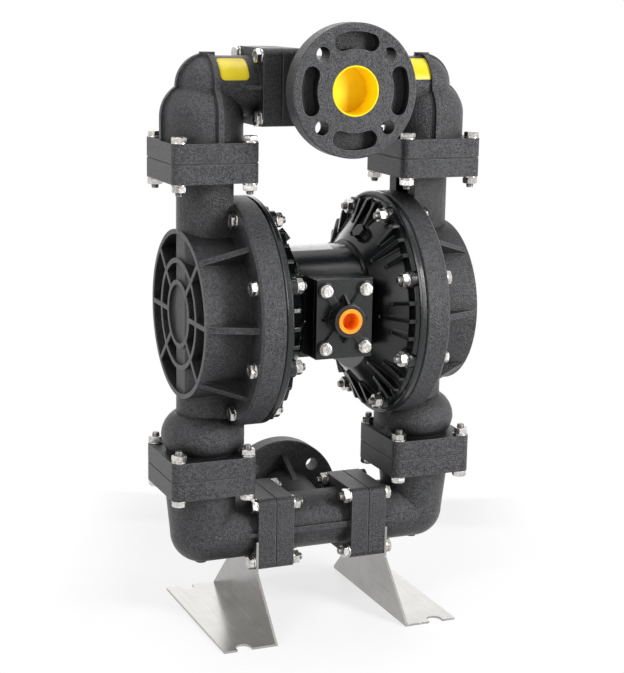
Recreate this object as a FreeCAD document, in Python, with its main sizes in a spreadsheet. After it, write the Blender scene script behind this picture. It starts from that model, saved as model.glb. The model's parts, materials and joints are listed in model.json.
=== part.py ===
import FreeCAD, Part
import math
import os
import re

import Sketcher

# Air operated double diaphragm pump, DN50, in moulded plastic on two sheet-metal feet.
#
# Frame: millimetres, +Z up, origin on the floor under the middle of the pump.  The diaphragm
# rod lies along X, so the two pump chambers are at -X and +X.  The discharge flange faces the
# front (-Y) at the top, and the suction flange faces the back (+Y) at the bottom.
#
# The right-hand pieces are modelled and the left-hand ones are their mirror images.

# ---------------------------------------------------------------------------------------------
# Driving dimensions.  Each is one cell of the sheet, and each is written once.
# ---------------------------------------------------------------------------------------------

SIZES = {
    # where the main axes and joint planes lie
    "centre_z": 420,            # diaphragm rod axis
    "joint_top_z": 617,         # cover to discharge elbow
    "joint_bottom_z": 212.5,    # cover to suction elbow
    "discharge_z": 708.5,       # discharge manifold axis
    "suction_z": 125.5,         # suction manifold axis
    "column_x": 155.5,          # axis of the ball housings
    "neck_x": 150,              # axis of the neck pipe of an outer cover
    "manifold_joint_x": 67,     # elbow to tee
    "chamber_joint_x": 95.5,    # inner cover to outer cover
    "port_reach": 123,          # from the middle of the pump to a port flange face

    # square flanges between covers and elbows, and between elbows and tees
    "column_flange_width": 114,
    "column_flange_depth": 118,
    "column_flange_corner": 10,
    "column_flange_thick": 25,
    "column_bolt_pitch_x": 93,
    "column_bolt_pitch_y": 98,
    "manifold_flange_size": 97,
    "manifold_flange_corner": 8,
    "manifold_flange_thick": 25,
    "manifold_bolt_pitch": 77,
    "joint_groove": 1,
    "band_groove": 2,

    # fasteners: M10 at all flanges, M8 at the air inlet
    "thread_radius": 5,
    "clearance_hole_radius": 5.5,
    "hex_across_flats": 17,
    "bolt_head_height": 6.4,
    "nut_height": 8,
    "bolt_tip": 7,
    "thread_gap": 0.1,
    "screw_thread_radius": 4,
    "screw_hole_radius": 4.5,
    "screw_across_flats": 13,
    "screw_head_height": 5.3,

    # flow passages
    "passage_radius": 29.5,
    "wall_gap": 0.1,

    # outer cover
    "band_radius": 149,
    "band_outer_x": 128.2,
    "band_edge": 3,
    "drum_radius": 109,
    "drum_end_x": 187.4,
    "rim_wall": 6,
    "ring_wall": 6,
    "middle_ring_radius": 69,
    "inner_ring_radius": 41,
    "end_disc_x": 183,
    "neck_face_x": 184,
    "end_rib_thick": 6,
    "gusset_thick": 8,
    "gusset_inset": 14,
    "neck_radius": 38,
    "neck_flat_x": 126.5,
    "chamber_mouth_lip": 2,
    "chamber_floor_radius": 68,
    "chamber_wall": 11,
    "plate_cover_gap": 4.5,

    # ball housings and valve balls
    "ball_radius": 31.5,
    "ball_lift": 13,
    "ball_seat_gap": 0.3,
    "ball_guide_gap": 0.8,
    "ball_stop_gap": 1.5,
    "guide_rib_thick": 5,
    "guide_stop_height": 6,
    "housing_bore_radius": 46,
    "cover_bore_radius": 41,
    "bulb_offset": 2,
    "bulb_foot_radius": 46.5,
    "bulb_radius": 54.5,
    "bulb_shoulder": 45,
    "bulb_curve": 37,
    "bulb_height": 76,
    "bulb_block_x": 104,
    "bulb_block_half": 25,
    "bulb_block_corner": 3,
    "seat_bore_radius": 22,
    "seat_edge_radius": 25,
    "seat_lip_radius": 35,
    "seat_top": 7,
    "seat_rim_radius": 49,
    "seat_rim_half": 3,
    "seat_ring_width": 4,

    # inner cover
    "inner_flange_x": 86,
    "inner_groove_inset": 7,
    "bowl_edge_inset": 8,
    "bowl_edge_x": 80,
    "bowl_foot_radius": 86,
    "block_end_x": 48,
    "plate_floor_gap": 6.5,
    "air_floor_radius": 70,
    "air_mouth_lip": 4,
    "air_mouth_x": 90,
    "fin_thick": 5,
    "fin_top_x": 75,
    "fin_nose_height": 4,
    "long_fin_start": 0.22,
    "short_fin_start": 0.57,
    "fin_angle": 9.5,
    "nut_boss_radius": 12,
    "nut_boss_rise": 2.5,
    "chamber_bolt_inset": 15,
    "chamber_bolts": 8,
    "service_plug_place": 0.34,
    "service_plug_angle": 15,
    "service_plug_flats": 17,
    "service_plug_height": 8,
    "service_plug_thread": 6,
    "service_plug_shank": 9,
    "service_boss_radius": 11,
    "service_boss_height": 3,

    # diaphragms, their plates and the rod
    "bead_bolt_gap": 8,
    "bead_width": 8,
    "bead_half": 3,
    "diaphragm_half": 2,
    "convolution_depth": 12,
    "plate_radius": 62,
    "inner_plate_thick": 10,
    "outer_plate_thick": 12,
    "plate_bevel": 4,
    "rod_radius": 12.5,
    "stud_radius": 8,
    "stud_length": 22,
    "rod_bush_radius": 16,
    "rod_seal_length": 4,
    "running_gap": 0.05,
    "stroke": 15,

    # centre block
    "block_radius": 81,
    "block_half_depth": 62,
    "block_below": 54,
    "collar_radius": 84,
    "collar_width": 3,
    "gasket_thick": 1.5,
    "pilot_radius": 4,
    "pilot_sleeve_radius": 8,
    "pilot_height": 36,
    "pilot_end_gap": 0.5,
    "pilot_waist_half": 12,

    # air valve block and air inlet plate
    "valve_half_width": 38.5,
    "valve_below": 49,
    "valve_above": 53,
    "valve_front_y": 94,
    "inlet_gasket_thick": 1,
    "inlet_plate_front_y": 103,
    "inlet_arm_y": 107,
    "inlet_boss_radius": 21,
    "inlet_boss_y": 121.5,
    "inlet_bore_radius": 13.2,
    "inlet_bore_floor_y": 98,
    "inlet_gusset_thick": 4,
    "inlet_gusset_reach": 33,
    "inlet_corner_radius": 10,
    "inlet_screw_x": 27.2,
    "inlet_screw_z": 37.1,
    "inlet_centre_z": 2,
    "inlet_screw_length": 70,
    "spool_bore_radius": 14,
    "spool_y": 78,
    "spool_waist_radius": 8,
    "spool_land": 9,
    "spool_stroke": 5,
    "spool_end_gap": 1.5,
    "spool_plug_thick": 6,

    # port flanges, DN50 PN16
    "port_flange_radius": 82.5,
    "port_flange_thick": 26,
    "port_bolt_circle": 62.5,
    "port_bolt_hole_radius": 9,
    "kidney_circle": 61.5,
    "kidney_half_width": 10.5,
    "kidney_angle": 37,
    "kidney_depth": 15,
    "port_mouth_radius": 31.3,
    "port_mouth_depth": 38,
    "port_neck_radius": 44,
    "port_rib_thick": 7,
    "port_rib_reach": 63,
    "barrel_radius": 38,
    "barrel_ridge": 4,

    # elbows
    "dome_radius": 52,
    "dome_shoulder": 30,
    "dome_curve": 41.3,
    "dome_top_radius": 30,
    "dome_pinch": 4,
    "elbow_leg_radius": 38,
    "elbow_setback": 6,
    "elbow_throat_radius": 24.5,
    "seam_rib_height": 3.5,
    "seam_rib_thick": 7,
    "top_boss_radius": 10,
    "suction_leg_radius": 41,
    "suction_throat_radius": 47.5,
    "drain_boss_radius": 7,
    "drain_boss_height": 2,
    "face_seal_radius": 36,
    "face_seal_width": 4.5,
    "face_seal_depth": 3,

    # feet
    "foot_thick": 3,
    "foot_half_length": 120,
    "foot_outer_x": 165,
    "foot_shoulder_z": 74,
    "foot_ear_z": 117,
    "foot_slot_x": 137,
    "foot_slot_radius": 10,
    "foot_slot_depth": 16,
    "foot_leg_gap": 2,

    # shipping plugs and muffler
    "plug_gap": 0.3,
    "plug_wall": 2,
    "port_plug_depth": 34,
    "plug_setback": 0.6,
    "air_plug_lip": 3,
    "air_plug_lip_thick": 1.5,
    "air_plug_depth": 22,
    "muffler_radius": 23,
    "muffler_neck_radius": 12,
    "muffler_neck": 8,
    "muffler_end_y": 118,
    "exhaust_boss_y": 70,
    "exhaust_boss_radius": 20,
}

# The hidden shanks of the many bolts, and their clearance holes, have this many sides, so that
# the mesh of all fasteners together stays light.
SHANK_SIDES = 8

X_AXIS = FreeCAD.Vector(1, 0, 0)
Y_AXIS = FreeCAD.Vector(0, 1, 0)
Z_AXIS = FreeCAD.Vector(0, 0, 1)

doc = FreeCAD.newDocument("DiaphragmPump")
sheet = doc.addObject("Spreadsheet::Sheet", "Sizes")
sub_parts = []


# Radii round the rim of a chamber, from the band inwards.
BOLT_CIRCLE = "(band_radius - chamber_bolt_inset)"
BOWL_EDGE = f"({BOLT_CIRCLE} - bowl_edge_inset)"
GROOVE_RADIUS = "(band_radius - inner_groove_inset)"
BEAD_OUTER = f"({BOLT_CIRCLE} - bead_bolt_gap)"
BEAD_INNER = f"({BEAD_OUTER} - bead_width)"

# ---------------------------------------------------------------------------------------------
# Helpers: the sheet, sketches and features
# ---------------------------------------------------------------------------------------------

def fill_sheet():
    """Writes every driving dimension to a cell of its own."""
    for row, (name, value) in enumerate(SIZES.items(), start=1):
        sheet.set(f"A{row}", name.replace("_", " "))
        sheet.set(f"B{row}", str(value))
        sheet.setAlias(f"B{row}", name)
    doc.recompute()


def bind(text):
    """Turns a formula of plain size names into an expression on the sheet."""
    return re.sub(r"[a-z]\w*", lambda m: "Sizes." + m[0] if m[0] in SIZES else m[0], str(text))


def size(text):
    """The value of a size or of a formula of sizes."""
    return float(sheet.evalExpression(bind(text)))


def tie(obj, prop, text):
    """Binds a property to a formula of sizes."""
    obj.setExpression(prop, bind(text))


def keep(obj, label):
    """Marks a finished object as a sub-part, with the label that names its file."""
    obj.Label = label
    sub_parts.append(obj)
    return obj


def new_body(name, x="0", y="0", z="0"):
    """An empty body whose own frame stands at a point given by formulas."""
    body = doc.addObject("PartDesign::Body", name)
    for axis, text in zip("xyz", (x, y, z)):
        tie(body, f"Placement.Base.{axis}", text)
    return body


def origin_feature(body, role):
    for feature in body.Origin.OriginFeatures:
        if feature.Role == role:
            return feature
    raise ValueError(role)


def new_sketch(body, name, plane, loops, shift=("0", "0"), offset="0", tilt=0, spin=0):
    """A sketch on an origin plane of its body, with its own origin shifted in the plane.

    A loop is a circle, ("circle", x, y, radius), or a list of corners (x, y).  A third entry in
    a corner rounds the way to the next one: its radius, positive for a bulge to the right.
    Both in degrees, spin turns the sketch about the plane's normal, and then tilt turns it about
    its own first axis.
    """
    sketch = body.newObject("Sketcher::SketchObject", name)
    sketch.AttachmentSupport = [(origin_feature(body, plane), "")]
    sketch.MapMode = "FlatFace"
    turn = FreeCAD.Rotation(Z_AXIS, spin).multiply(FreeCAD.Rotation(X_AXIS, tilt))
    sketch.AttachmentOffset = FreeCAD.Placement(FreeCAD.Vector(), turn)
    for axis, text in zip("xyz", (*shift, offset)):
        tie(sketch, f"AttachmentOffset.Base.{axis}", text)
    for loop in loops:
        if loop[0] == "circle":
            draw_circle(sketch, *loop[1:])
        else:
            draw_loop(sketch, loop)
    return sketch


def constrain(sketch, text, kind, *where):
    """Adds a dimension that holds a formula of sizes."""
    index = sketch.addConstraint(Sketcher.Constraint(kind, *where, size(text)))
    tie(sketch, f"Constraints[{index}]", text)


def draw_circle(sketch, x, y, radius):
    centre = FreeCAD.Vector(size(x), size(y), 0)
    index = sketch.addGeometry(Part.Circle(centre, Z_AXIS, size(radius)))
    constrain(sketch, x, "DistanceX", -1, 1, index, 3)
    constrain(sketch, y, "DistanceY", -1, 1, index, 3)
    constrain(sketch, radius, "Radius", index)


def arc_between(start, end, radius):
    """The shorter arc from start to end; a positive radius bulges to the right of the way."""
    chord = end - start
    side = FreeCAD.Vector(chord.y, -chord.x, 0).normalize() * (1 if radius > 0 else -1)
    half = chord.Length / 2
    sagitta = abs(radius) - math.sqrt(max(radius ** 2 - half ** 2, 0))
    middle = (start + end) * 0.5 + side * sagitta
    return Part.Arc(start, middle, end)


def draw_loop(sketch, corners):
    """A closed loop of lines and arcs whose corners all hold formulas of sizes."""
    points = [FreeCAD.Vector(size(c[0]), size(c[1]), 0) for c in corners]
    edges = []
    for i, corner in enumerate(corners):
        start = points[i]
        end = points[(i + 1) % len(points)]
        if len(corner) == 2:
            index = sketch.addGeometry(Part.LineSegment(start, end))
            edges.append((index, 1, 2))
            continue
        radius = size(corner[2])
        index = sketch.addGeometry(arc_between(start, end, radius))
        # A sketch keeps every arc anticlockwise, so a bulge to the right keeps its direction.
        edges.append((index, 1, 2) if radius > 0 else (index, 2, 1))
        constrain(sketch, f"abs({corner[2]})", "Radius", index)
    for i, (index, _, last) in enumerate(edges):
        following, first, _ = edges[(i + 1) % len(edges)]
        sketch.addConstraint(Sketcher.Constraint("Coincident", index, last, following, first))
    for (index, first, _), corner in zip(edges, corners):
        constrain(sketch, corner[0], "DistanceX", -1, 1, index, first)
        constrain(sketch, corner[1], "DistanceY", -1, 1, index, first)


def rectangle(x0, y0, x1, y1):
    return [(x0, y0), (x1, y0), (x1, y1), (x0, y1)]


def rounded_rectangle(x, y, width, depth, corner):
    """A rectangle about (x, y) with round corners, drawn anticlockwise."""
    side = f"({width}) / 2"
    end = f"({depth}) / 2"
    return [
        (f"{x} - {side} + {corner}", f"{y} - {end}"),
        (f"{x} + {side} - {corner}", f"{y} - {end}", corner),
        (f"{x} + {side}", f"{y} - {end} + {corner}"),
        (f"{x} + {side}", f"{y} + {end} - {corner}", corner),
        (f"{x} + {side} - {corner}", f"{y} + {end}"),
        (f"{x} - {side} + {corner}", f"{y} + {end}", corner),
        (f"{x} - {side}", f"{y} + {end} - {corner}"),
        (f"{x} - {side}", f"{y} - {end} + {corner}", corner),
    ]


def turned(body, name, plane, loops, axis="H_Axis", shift=("0", "0"), cut=False, angle="360"):
    """A revolution, or a groove, about an axis of its own sketch."""
    sketch = new_sketch(body, name + "_profile", plane, loops, shift)
    kind = "PartDesign::Groove" if cut else "PartDesign::Revolution"
    feature = body.newObject(kind, name)
    feature.Profile = sketch
    feature.ReferenceAxis = (sketch, [axis])
    feature.Midplane = angle != "360"
    tie(feature, "Angle", angle)
    return feature


def raised(body, name, plane, loops, length, shift=("0", "0"), offset="0", middle=False,
           back=False, cut=False, tilt=0, spin=0):
    """A pad, or a pocket, of a sketch on an origin plane, along the plane's normal.

    The normals are +Z for XY, -Y for XZ and +X for YZ; back turns the direction round.
    """
    sketch = new_sketch(body, name + "_profile", plane, loops, shift, offset, tilt, spin)
    feature = body.newObject("PartDesign::Pocket" if cut else "PartDesign::Pad", name)
    feature.Profile = sketch
    feature.Midplane = middle
    # A pocket goes against the normal unless it is reversed, a pad goes along it.
    feature.Reversed = back != cut
    tie(feature, "Length", length)
    return feature


def around(body, name, features, axis, count, angle=360):
    """A polar pattern of features; the body's tip moves to it."""
    pattern = body.newObject("PartDesign::PolarPattern", name)
    pattern.Originals = features
    pattern.Axis = axis
    pattern.Angle = angle
    tie(pattern, "Occurrences", count)
    body.Tip = pattern
    return pattern


def joint_flange(body, name, plane, outline, thick, joint, side):
    """A flange on one side (1 or -1) of its joint plane, with a shallow groove at the joint.

    The outline is (x, y, width, depth, corner).
    """
    x, y, width, depth, corner = outline
    inset = "2 * joint_groove"
    land = rounded_rectangle(x, y, f"{width} - {inset}", f"{depth} - {inset}",
                             f"({corner} - joint_groove)")
    raised(body, name, plane, [rounded_rectangle(*outline)], f"{thick} - joint_groove",
           offset=f"{joint} + joint_groove" if side > 0 else f"{joint} - {thick}")
    raised(body, name + "_land", plane, [land], "joint_groove + 1",
           offset=joint if side > 0 else f"{joint} - joint_groove - 1")


def column_flange(body, name, joint, side):
    outline = ("column_x", "0", "column_flange_width", "column_flange_depth",
               "column_flange_corner")
    joint_flange(body, name, "XY_Plane", outline, "column_flange_thick", joint, side)


def manifold_flange(body, name, joint, side):
    outline = ("0", "0", "manifold_flange_size", "manifold_flange_size",
               "manifold_flange_corner")
    joint_flange(body, name, "YZ_Plane", outline, "manifold_flange_thick", joint, side)


def mirror_image(source, label, name):
    """The left-hand piece: the mirror image of a right-hand one in the middle plane."""
    image = doc.addObject("Part::Mirroring", name)
    image.Source = source
    image.Normal = X_AXIS
    return keep(image, label)


def point(x, y, z):
    return FreeCAD.Vector(size(x), size(y), size(z))


def prism(radius, sides, start, length, direction, flat_up=False):
    """A regular prism from a start point along a direction."""
    corners = []
    for i in range(sides + 1):
        angle = 2 * math.pi * (i + (0.5 if flat_up else 0)) / sides
        corners.append(FreeCAD.Vector(radius * math.cos(angle), radius * math.sin(angle), 0))
    solid = Part.Face(Part.makePolygon(corners)).extrude(Z_AXIS * length)
    solid.Placement = FreeCAD.Placement(start, FreeCAD.Rotation(Z_AXIS, direction))
    return solid


def around_flats(across_flats, sides):
    """The corner radius of a regular prism with the given size across its flats."""
    return across_flats / 2 / math.cos(math.pi / sides)


def shape_part(label, shape, position=None):
    """A sub-part, or a tool, whose shape is set from code; its placement comes after."""
    feature = doc.addObject("Part::Feature", label)
    feature.Shape = shape
    if position is not None:
        feature.Placement = FreeCAD.Placement(position, FreeCAD.Rotation())
    return feature


def drilled(base, label, name, holes):
    """The finished piece: its body less the clearance holes of the bolts through it."""
    tool = shape_part(name + "_holes", Part.makeCompound(holes))
    cut = doc.addObject("Part::Cut", name)
    cut.Base = base
    cut.Tool = tool
    return keep(cut, label)


# ---------------------------------------------------------------------------------------------
# Where the bolts go.  Holes, bolts and nuts all read these places.
# ---------------------------------------------------------------------------------------------

def corners(pitch_x, pitch_y):
    half_x = size(pitch_x) / 2
    half_y = size(pitch_y) / 2
    return [(a * half_x, b * half_y) for a in (-1, 1) for b in (-1, 1)]


def chamber_bolt_places():
    """Bolt axes round the rim of a chamber, as (y, z) in the pump's frame."""
    count = int(size("chamber_bolts"))
    circle = size(BOLT_CIRCLE)
    places = []
    for i in range(count):
        angle = 2 * math.pi * (i + 0.5) / count
        places.append((circle * math.cos(angle), size("centre_z") + circle * math.sin(angle)))
    return places


def column_bolt_places(side):
    """Bolt axes of a flange between cover and elbow, as (x, y)."""
    return [
        (side * size("column_x") + a, b)
        for a, b in corners("column_bolt_pitch_x", "column_bolt_pitch_y")
    ]


def manifold_bolt_places(axis_z):
    """Bolt axes of a square flange between elbow and tee, as (y, z)."""
    return [
        (a, size(axis_z) + b) for a, b in corners("manifold_bolt_pitch", "manifold_bolt_pitch")
    ]


def inlet_screw_places():
    """Screws of the air inlet plate, as (x, z) in the pump's frame."""
    middle = size("centre_z + inlet_centre_z")
    reach_x = size("inlet_screw_x")
    reach_z = size("inlet_screw_z")
    return [(a * reach_x, middle + b * reach_z) for a in (-1, 1) for b in (-1, 1)]


def hole(start, length, direction, radius="clearance_hole_radius"):
    return prism(size(radius), SHANK_SIDES, start, length, direction)


def column_holes(joint_z, side=1):
    """Holes through both square flanges at one cover-to-elbow joint."""
    reach = size("column_flange_thick") + 1
    return [
        hole(FreeCAD.Vector(x, y, size(joint_z) - reach), 2 * reach, Z_AXIS)
        for x, y in column_bolt_places(side)
    ]


def manifold_holes(axis_z, side=1):
    """Holes through both square flanges at one elbow-to-tee joint."""
    reach = size("manifold_flange_thick") + 1
    start = side * size("manifold_joint_x") - reach
    return [
        hole(FreeCAD.Vector(start, y, z), 2 * reach, X_AXIS)
        for y, z in manifold_bolt_places(axis_z)
    ]


def chamber_holes():
    """Holes through the rims of the right-hand inner and outer cover."""
    start = size(NUT_SEAT) - 1
    length = size("band_outer_x") + 1 - start
    return [hole(FreeCAD.Vector(start, y, z), length, X_AXIS) for y, z in chamber_bolt_places()]


# ---------------------------------------------------------------------------------------------
# Ball housings: shared by the outer cover (suction ball) and the discharge elbow
# ---------------------------------------------------------------------------------------------

BALL_CENTRE = "(seat_top + sqrt(ball_radius^2 - seat_edge_radius^2) + ball_seat_gap)"
STOP_Z = f"({BALL_CENTRE} + ball_radius + ball_lift + ball_stop_gap)"
GUIDE_RADIUS = "(ball_radius + ball_guide_gap)"


def ball_housing_cavity(body, name, joint, bore, throat, throat_z):
    """The space round a valve ball, above its joint plane, with the seat's recess below it.

    The recess takes the seat's rim and the sealing ring round it.
    """
    recess = "(seat_rim_radius + seat_ring_width)"
    turned(body, name, "XZ_Plane", [[
        ("0", f"{joint} - 1"),
        (recess, f"{joint} - 1"),
        (recess, f"{joint} + seat_rim_half"),
        (bore, f"{joint} + seat_rim_half"),
        (bore, f"{joint} + {BALL_CENTRE} + 10"),
        (throat, throat_z),
        ("0", throat_z),
    ]], axis="V_Axis", shift=("column_x", "0"), cut=True)


def ball_guides(body, name, joint, bore, top_radius):
    """Four ribs that guide the ball and stop its lift."""
    inner = GUIDE_RADIUS
    outer = f"({bore} + 2)"
    low = f"{joint} + seat_top + wall_gap"
    shoulder = f"{joint} + {BALL_CENTRE} + ball_lift + ball_radius / 2"
    tip = "(ball_radius * 0.4)"
    top = f"{joint} + {STOP_Z} + guide_stop_height"
    rib = raised(body, name, "XZ_Plane", [[
        (inner, low),
        (outer, low),
        (outer, f"{joint} + {BALL_CENTRE} + 8"),
        (top_radius, top),
        (tip, top),
        (tip, f"{joint} + {STOP_Z}"),
        (inner, shoulder),
    ]], "guide_rib_thick", shift=("column_x", "0"), middle=True)
    axis = (rib.Profile[0], ["V_Axis"])
    return around(body, name + "_pattern", [rib], axis, "4")


# ---------------------------------------------------------------------------------------------
# Outer covers: the wet chambers
# ---------------------------------------------------------------------------------------------

# The chamber is as deep as the outer plate needs at the end of its stroke.
CHAMBER_FLOOR = """(chamber_joint_x + diaphragm_half + outer_plate_thick + stroke
    + plate_cover_gap)""".replace("\n   ", "")
POCKET_FLOOR = f"({CHAMBER_FLOOR} + chamber_wall)"
TOP_JOINT = "(joint_top_z - centre_z)"
BOTTOM_JOINT = "(joint_bottom_z - centre_z)"


def outer_cover_shell(body):
    """Rim band and drum, and the neck pipe that runs down through the open drum end."""
    turned(body, "cover_dish", "XZ_Plane", [[
        ("chamber_joint_x", "0"),
        ("chamber_joint_x", "band_radius - band_groove"),
        ("chamber_joint_x + band_groove", "band_radius"),
        ("band_outer_x - band_edge", "band_radius"),
        ("band_outer_x", "band_radius - band_edge"),
        ("band_outer_x", "drum_radius"),
        (POCKET_FLOOR, "drum_radius"),
        (POCKET_FLOOR, "0"),
    ]])
    raised(body, "cover_neck", "XY_Plane", [[
        ("neck_flat_x", "-neck_radius"),
        ("neck_x", "-neck_radius", "neck_radius"),
        ("neck_x + neck_radius", "0", "neck_radius"),
        ("neck_x", "neck_radius"),
        ("neck_flat_x", "neck_radius"),
    ]], f"{TOP_JOINT} - {BOTTOM_JOINT} - bulb_height + 1",
           offset=f"{BOTTOM_JOINT} + bulb_height - 2")
    turned(body, "neck_flat", "XZ_Plane", [
        rectangle("neck_face_x", "0", "drum_end_x + 5", "drum_radius - rim_wall / 2"),
    ], cut=True)


def outer_cover_ribs(body):
    """Ring walls and radial ribs of the drum end, and the gussets round the drum."""
    root = f"{POCKET_FLOOR} - 1"
    half = "ring_wall / 2"
    turned(body, "cover_end_rings", "XZ_Plane", [
        rectangle(root, "drum_radius - rim_wall", "drum_end_x", "drum_radius"),
        rectangle(root, f"middle_ring_radius - {half}",
                  "drum_end_x", f"middle_ring_radius + {half}"),
        [
            (root, "0"),
            ("end_disc_x", "0"),
            ("end_disc_x", f"inner_ring_radius - {half}"),
            ("drum_end_x", f"inner_ring_radius - {half}"),
            ("drum_end_x", f"inner_ring_radius + {half}"),
            (root, f"inner_ring_radius + {half}"),
        ],
    ])
    axis = (origin_feature(body, "X_Axis"), [""])
    # There is no rib on the vertical: the neck pipe takes its place.
    for name, tilt, count in (("slanting", 45, "4"), ("level", 90, "2")):
        rib = raised(body, name + "_rib", "XZ_Plane", [
            rectangle(root, "inner_ring_radius", "drum_end_x", "drum_radius - 1"),
        ], "end_rib_thick", middle=True, tilt=tilt)
        gusset = raised(body, name + "_gusset", "XZ_Plane", [[
            ("drum_end_x - 3", "drum_radius - 2"),
            ("drum_end_x - 3", "drum_radius + 0.5"),
            ("band_outer_x - 1", "band_radius - gusset_inset"),
            ("band_outer_x - 1", "drum_radius - 2"),
        ]], "gusset_thick", middle=True, tilt=tilt)
        around(body, name + "_rib_pattern", [rib, gusset], axis, count)


def outer_cover_columns(body):
    """Lower ball bulb with the block on its inner side, and the two flanges."""
    base = BOTTOM_JOINT
    turned(body, "cover_bulb", "XZ_Plane", [[
        ("0", f"{base} + 5"),
        ("bulb_foot_radius", f"{base} + 5"),
        ("bulb_foot_radius", f"{base} + column_flange_thick", "bulb_curve"),
        ("bulb_radius", f"{base} + bulb_shoulder", "bulb_curve"),
        ("neck_radius", f"{base} + bulb_height"),
        ("0", f"{base} + bulb_height"),
    ]], axis="V_Axis", shift=("column_x - bulb_offset", "0"))
    raised(body, "bulb_block", "XY_Plane", [rounded_rectangle(
        "(bulb_block_x + column_x) / 2", "0", "column_x - bulb_block_x", "2 * bulb_block_half",
        "bulb_block_corner",
    )], "bulb_height - 7", offset=f"{base} + 5")
    column_flange(body, "cover_top_flange", TOP_JOINT, -1)
    column_flange(body, "cover_bottom_flange", BOTTOM_JOINT, 1)


def outer_cover_passages(body):
    """Chamber, neck passage, ball housing and the recesses of seats and diaphragm bead."""
    mouth = "chamber_joint_x"
    turned(body, "cover_chamber", "XZ_Plane", [[
        (f"{mouth} - 1", "0"),
        (f"{mouth} - 1", f"{BEAD_OUTER} + wall_gap"),
        (f"{mouth} + bead_half", f"{BEAD_OUTER} + wall_gap"),
        (f"{mouth} + bead_half", f"{BEAD_INNER} - chamber_mouth_lip"),
        (CHAMBER_FLOOR, "chamber_floor_radius"),
        (CHAMBER_FLOOR, "0"),
    ]], cut=True)
    throat = f"{BOTTOM_JOINT} + bulb_height + 2"
    raised(body, "cover_passage", "XY_Plane", [("circle", "neck_x", "0", "passage_radius")],
           f"{TOP_JOINT} - ({throat}) + 6", offset=f"{throat} - 5", cut=True)
    ball_housing_cavity(body, "cover_ball_space", BOTTOM_JOINT, "cover_bore_radius",
                        "passage_radius", throat)
    turned(body, "cover_top_recess", "XZ_Plane", [[
        ("0", f"{TOP_JOINT} + 1"),
        ("seat_rim_radius + wall_gap", f"{TOP_JOINT} + 1"),
        ("seat_rim_radius + wall_gap", f"{TOP_JOINT} - seat_rim_half"),
        ("seat_bore_radius", f"{TOP_JOINT} - seat_rim_half"),
        ("seat_bore_radius", f"{TOP_JOINT} - column_flange_thick"),
        ("0", f"{TOP_JOINT} - column_flange_thick"),
    ]], axis="V_Axis", shift=("column_x", "0"), cut=True)
    ball_guides(body, "cover_ball_guide", BOTTOM_JOINT, "cover_bore_radius",
                "passage_radius + 2")


def make_outer_covers():
    body = new_body("outer_cover_body", z="centre_z")
    outer_cover_shell(body)
    outer_cover_ribs(body)
    outer_cover_columns(body)
    outer_cover_passages(body)
    holes = chamber_holes() + column_holes("joint_top_z") + column_holes("joint_bottom_z")
    right = drilled(body, "right_outer_cover", "outer_cover", holes)
    mirror_image(right, "left_outer_cover", "outer_cover_image")


# ---------------------------------------------------------------------------------------------
# Inner covers: the air chambers
# ---------------------------------------------------------------------------------------------

# The nuts of the chamber bolts stand on bosses round the bowl.
NUT_SEAT = "(bowl_edge_x - nut_boss_rise)"

# The bowl's outside is a cone; this is where it lies at a given radius.
BOWL_SLOPE = f"((bowl_edge_x - block_end_x) / ({BOWL_EDGE} - bowl_foot_radius))"
PLATE_BACK = "(chamber_joint_x - diaphragm_half - inner_plate_thick)"
AIR_FLOOR = f"({PLATE_BACK} - stroke - plate_floor_gap)"


def bowl_x(radius):
    return f"(block_end_x + ({radius} - bowl_foot_radius) * {BOWL_SLOPE})"


def bowl_reach(share):
    """The radius at a share of the way from the bowl's foot to its edge."""
    return f"(bowl_foot_radius + {share} * ({BOWL_EDGE} - bowl_foot_radius))"


def inner_cover_bowl(body):
    turned(body, "bowl", "XZ_Plane", [[
        ("block_end_x", "rod_bush_radius"),
        ("block_end_x", "bowl_foot_radius"),
        ("bowl_edge_x", BOWL_EDGE),
        ("bowl_edge_x + 3", f"{GROOVE_RADIUS} - 3"),
        ("inner_flange_x + 2", GROOVE_RADIUS),
        ("inner_flange_x", f"{GROOVE_RADIUS} + 2"),
        ("inner_flange_x", "band_radius - 2"),
        ("inner_flange_x + 2", "band_radius"),
        ("chamber_joint_x - band_groove", "band_radius"),
        ("chamber_joint_x", "band_radius - band_groove"),
        ("chamber_joint_x", f"{BEAD_OUTER} + wall_gap"),
        ("chamber_joint_x - bead_half", f"{BEAD_OUTER} + wall_gap"),
        ("chamber_joint_x - bead_half", f"{BEAD_INNER} - air_mouth_lip"),
        ("air_mouth_x", f"{BEAD_INNER} - air_mouth_lip"),
        (AIR_FLOOR, "air_floor_radius"),
        (AIR_FLOOR, "rod_bush_radius"),
    ]])


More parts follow.
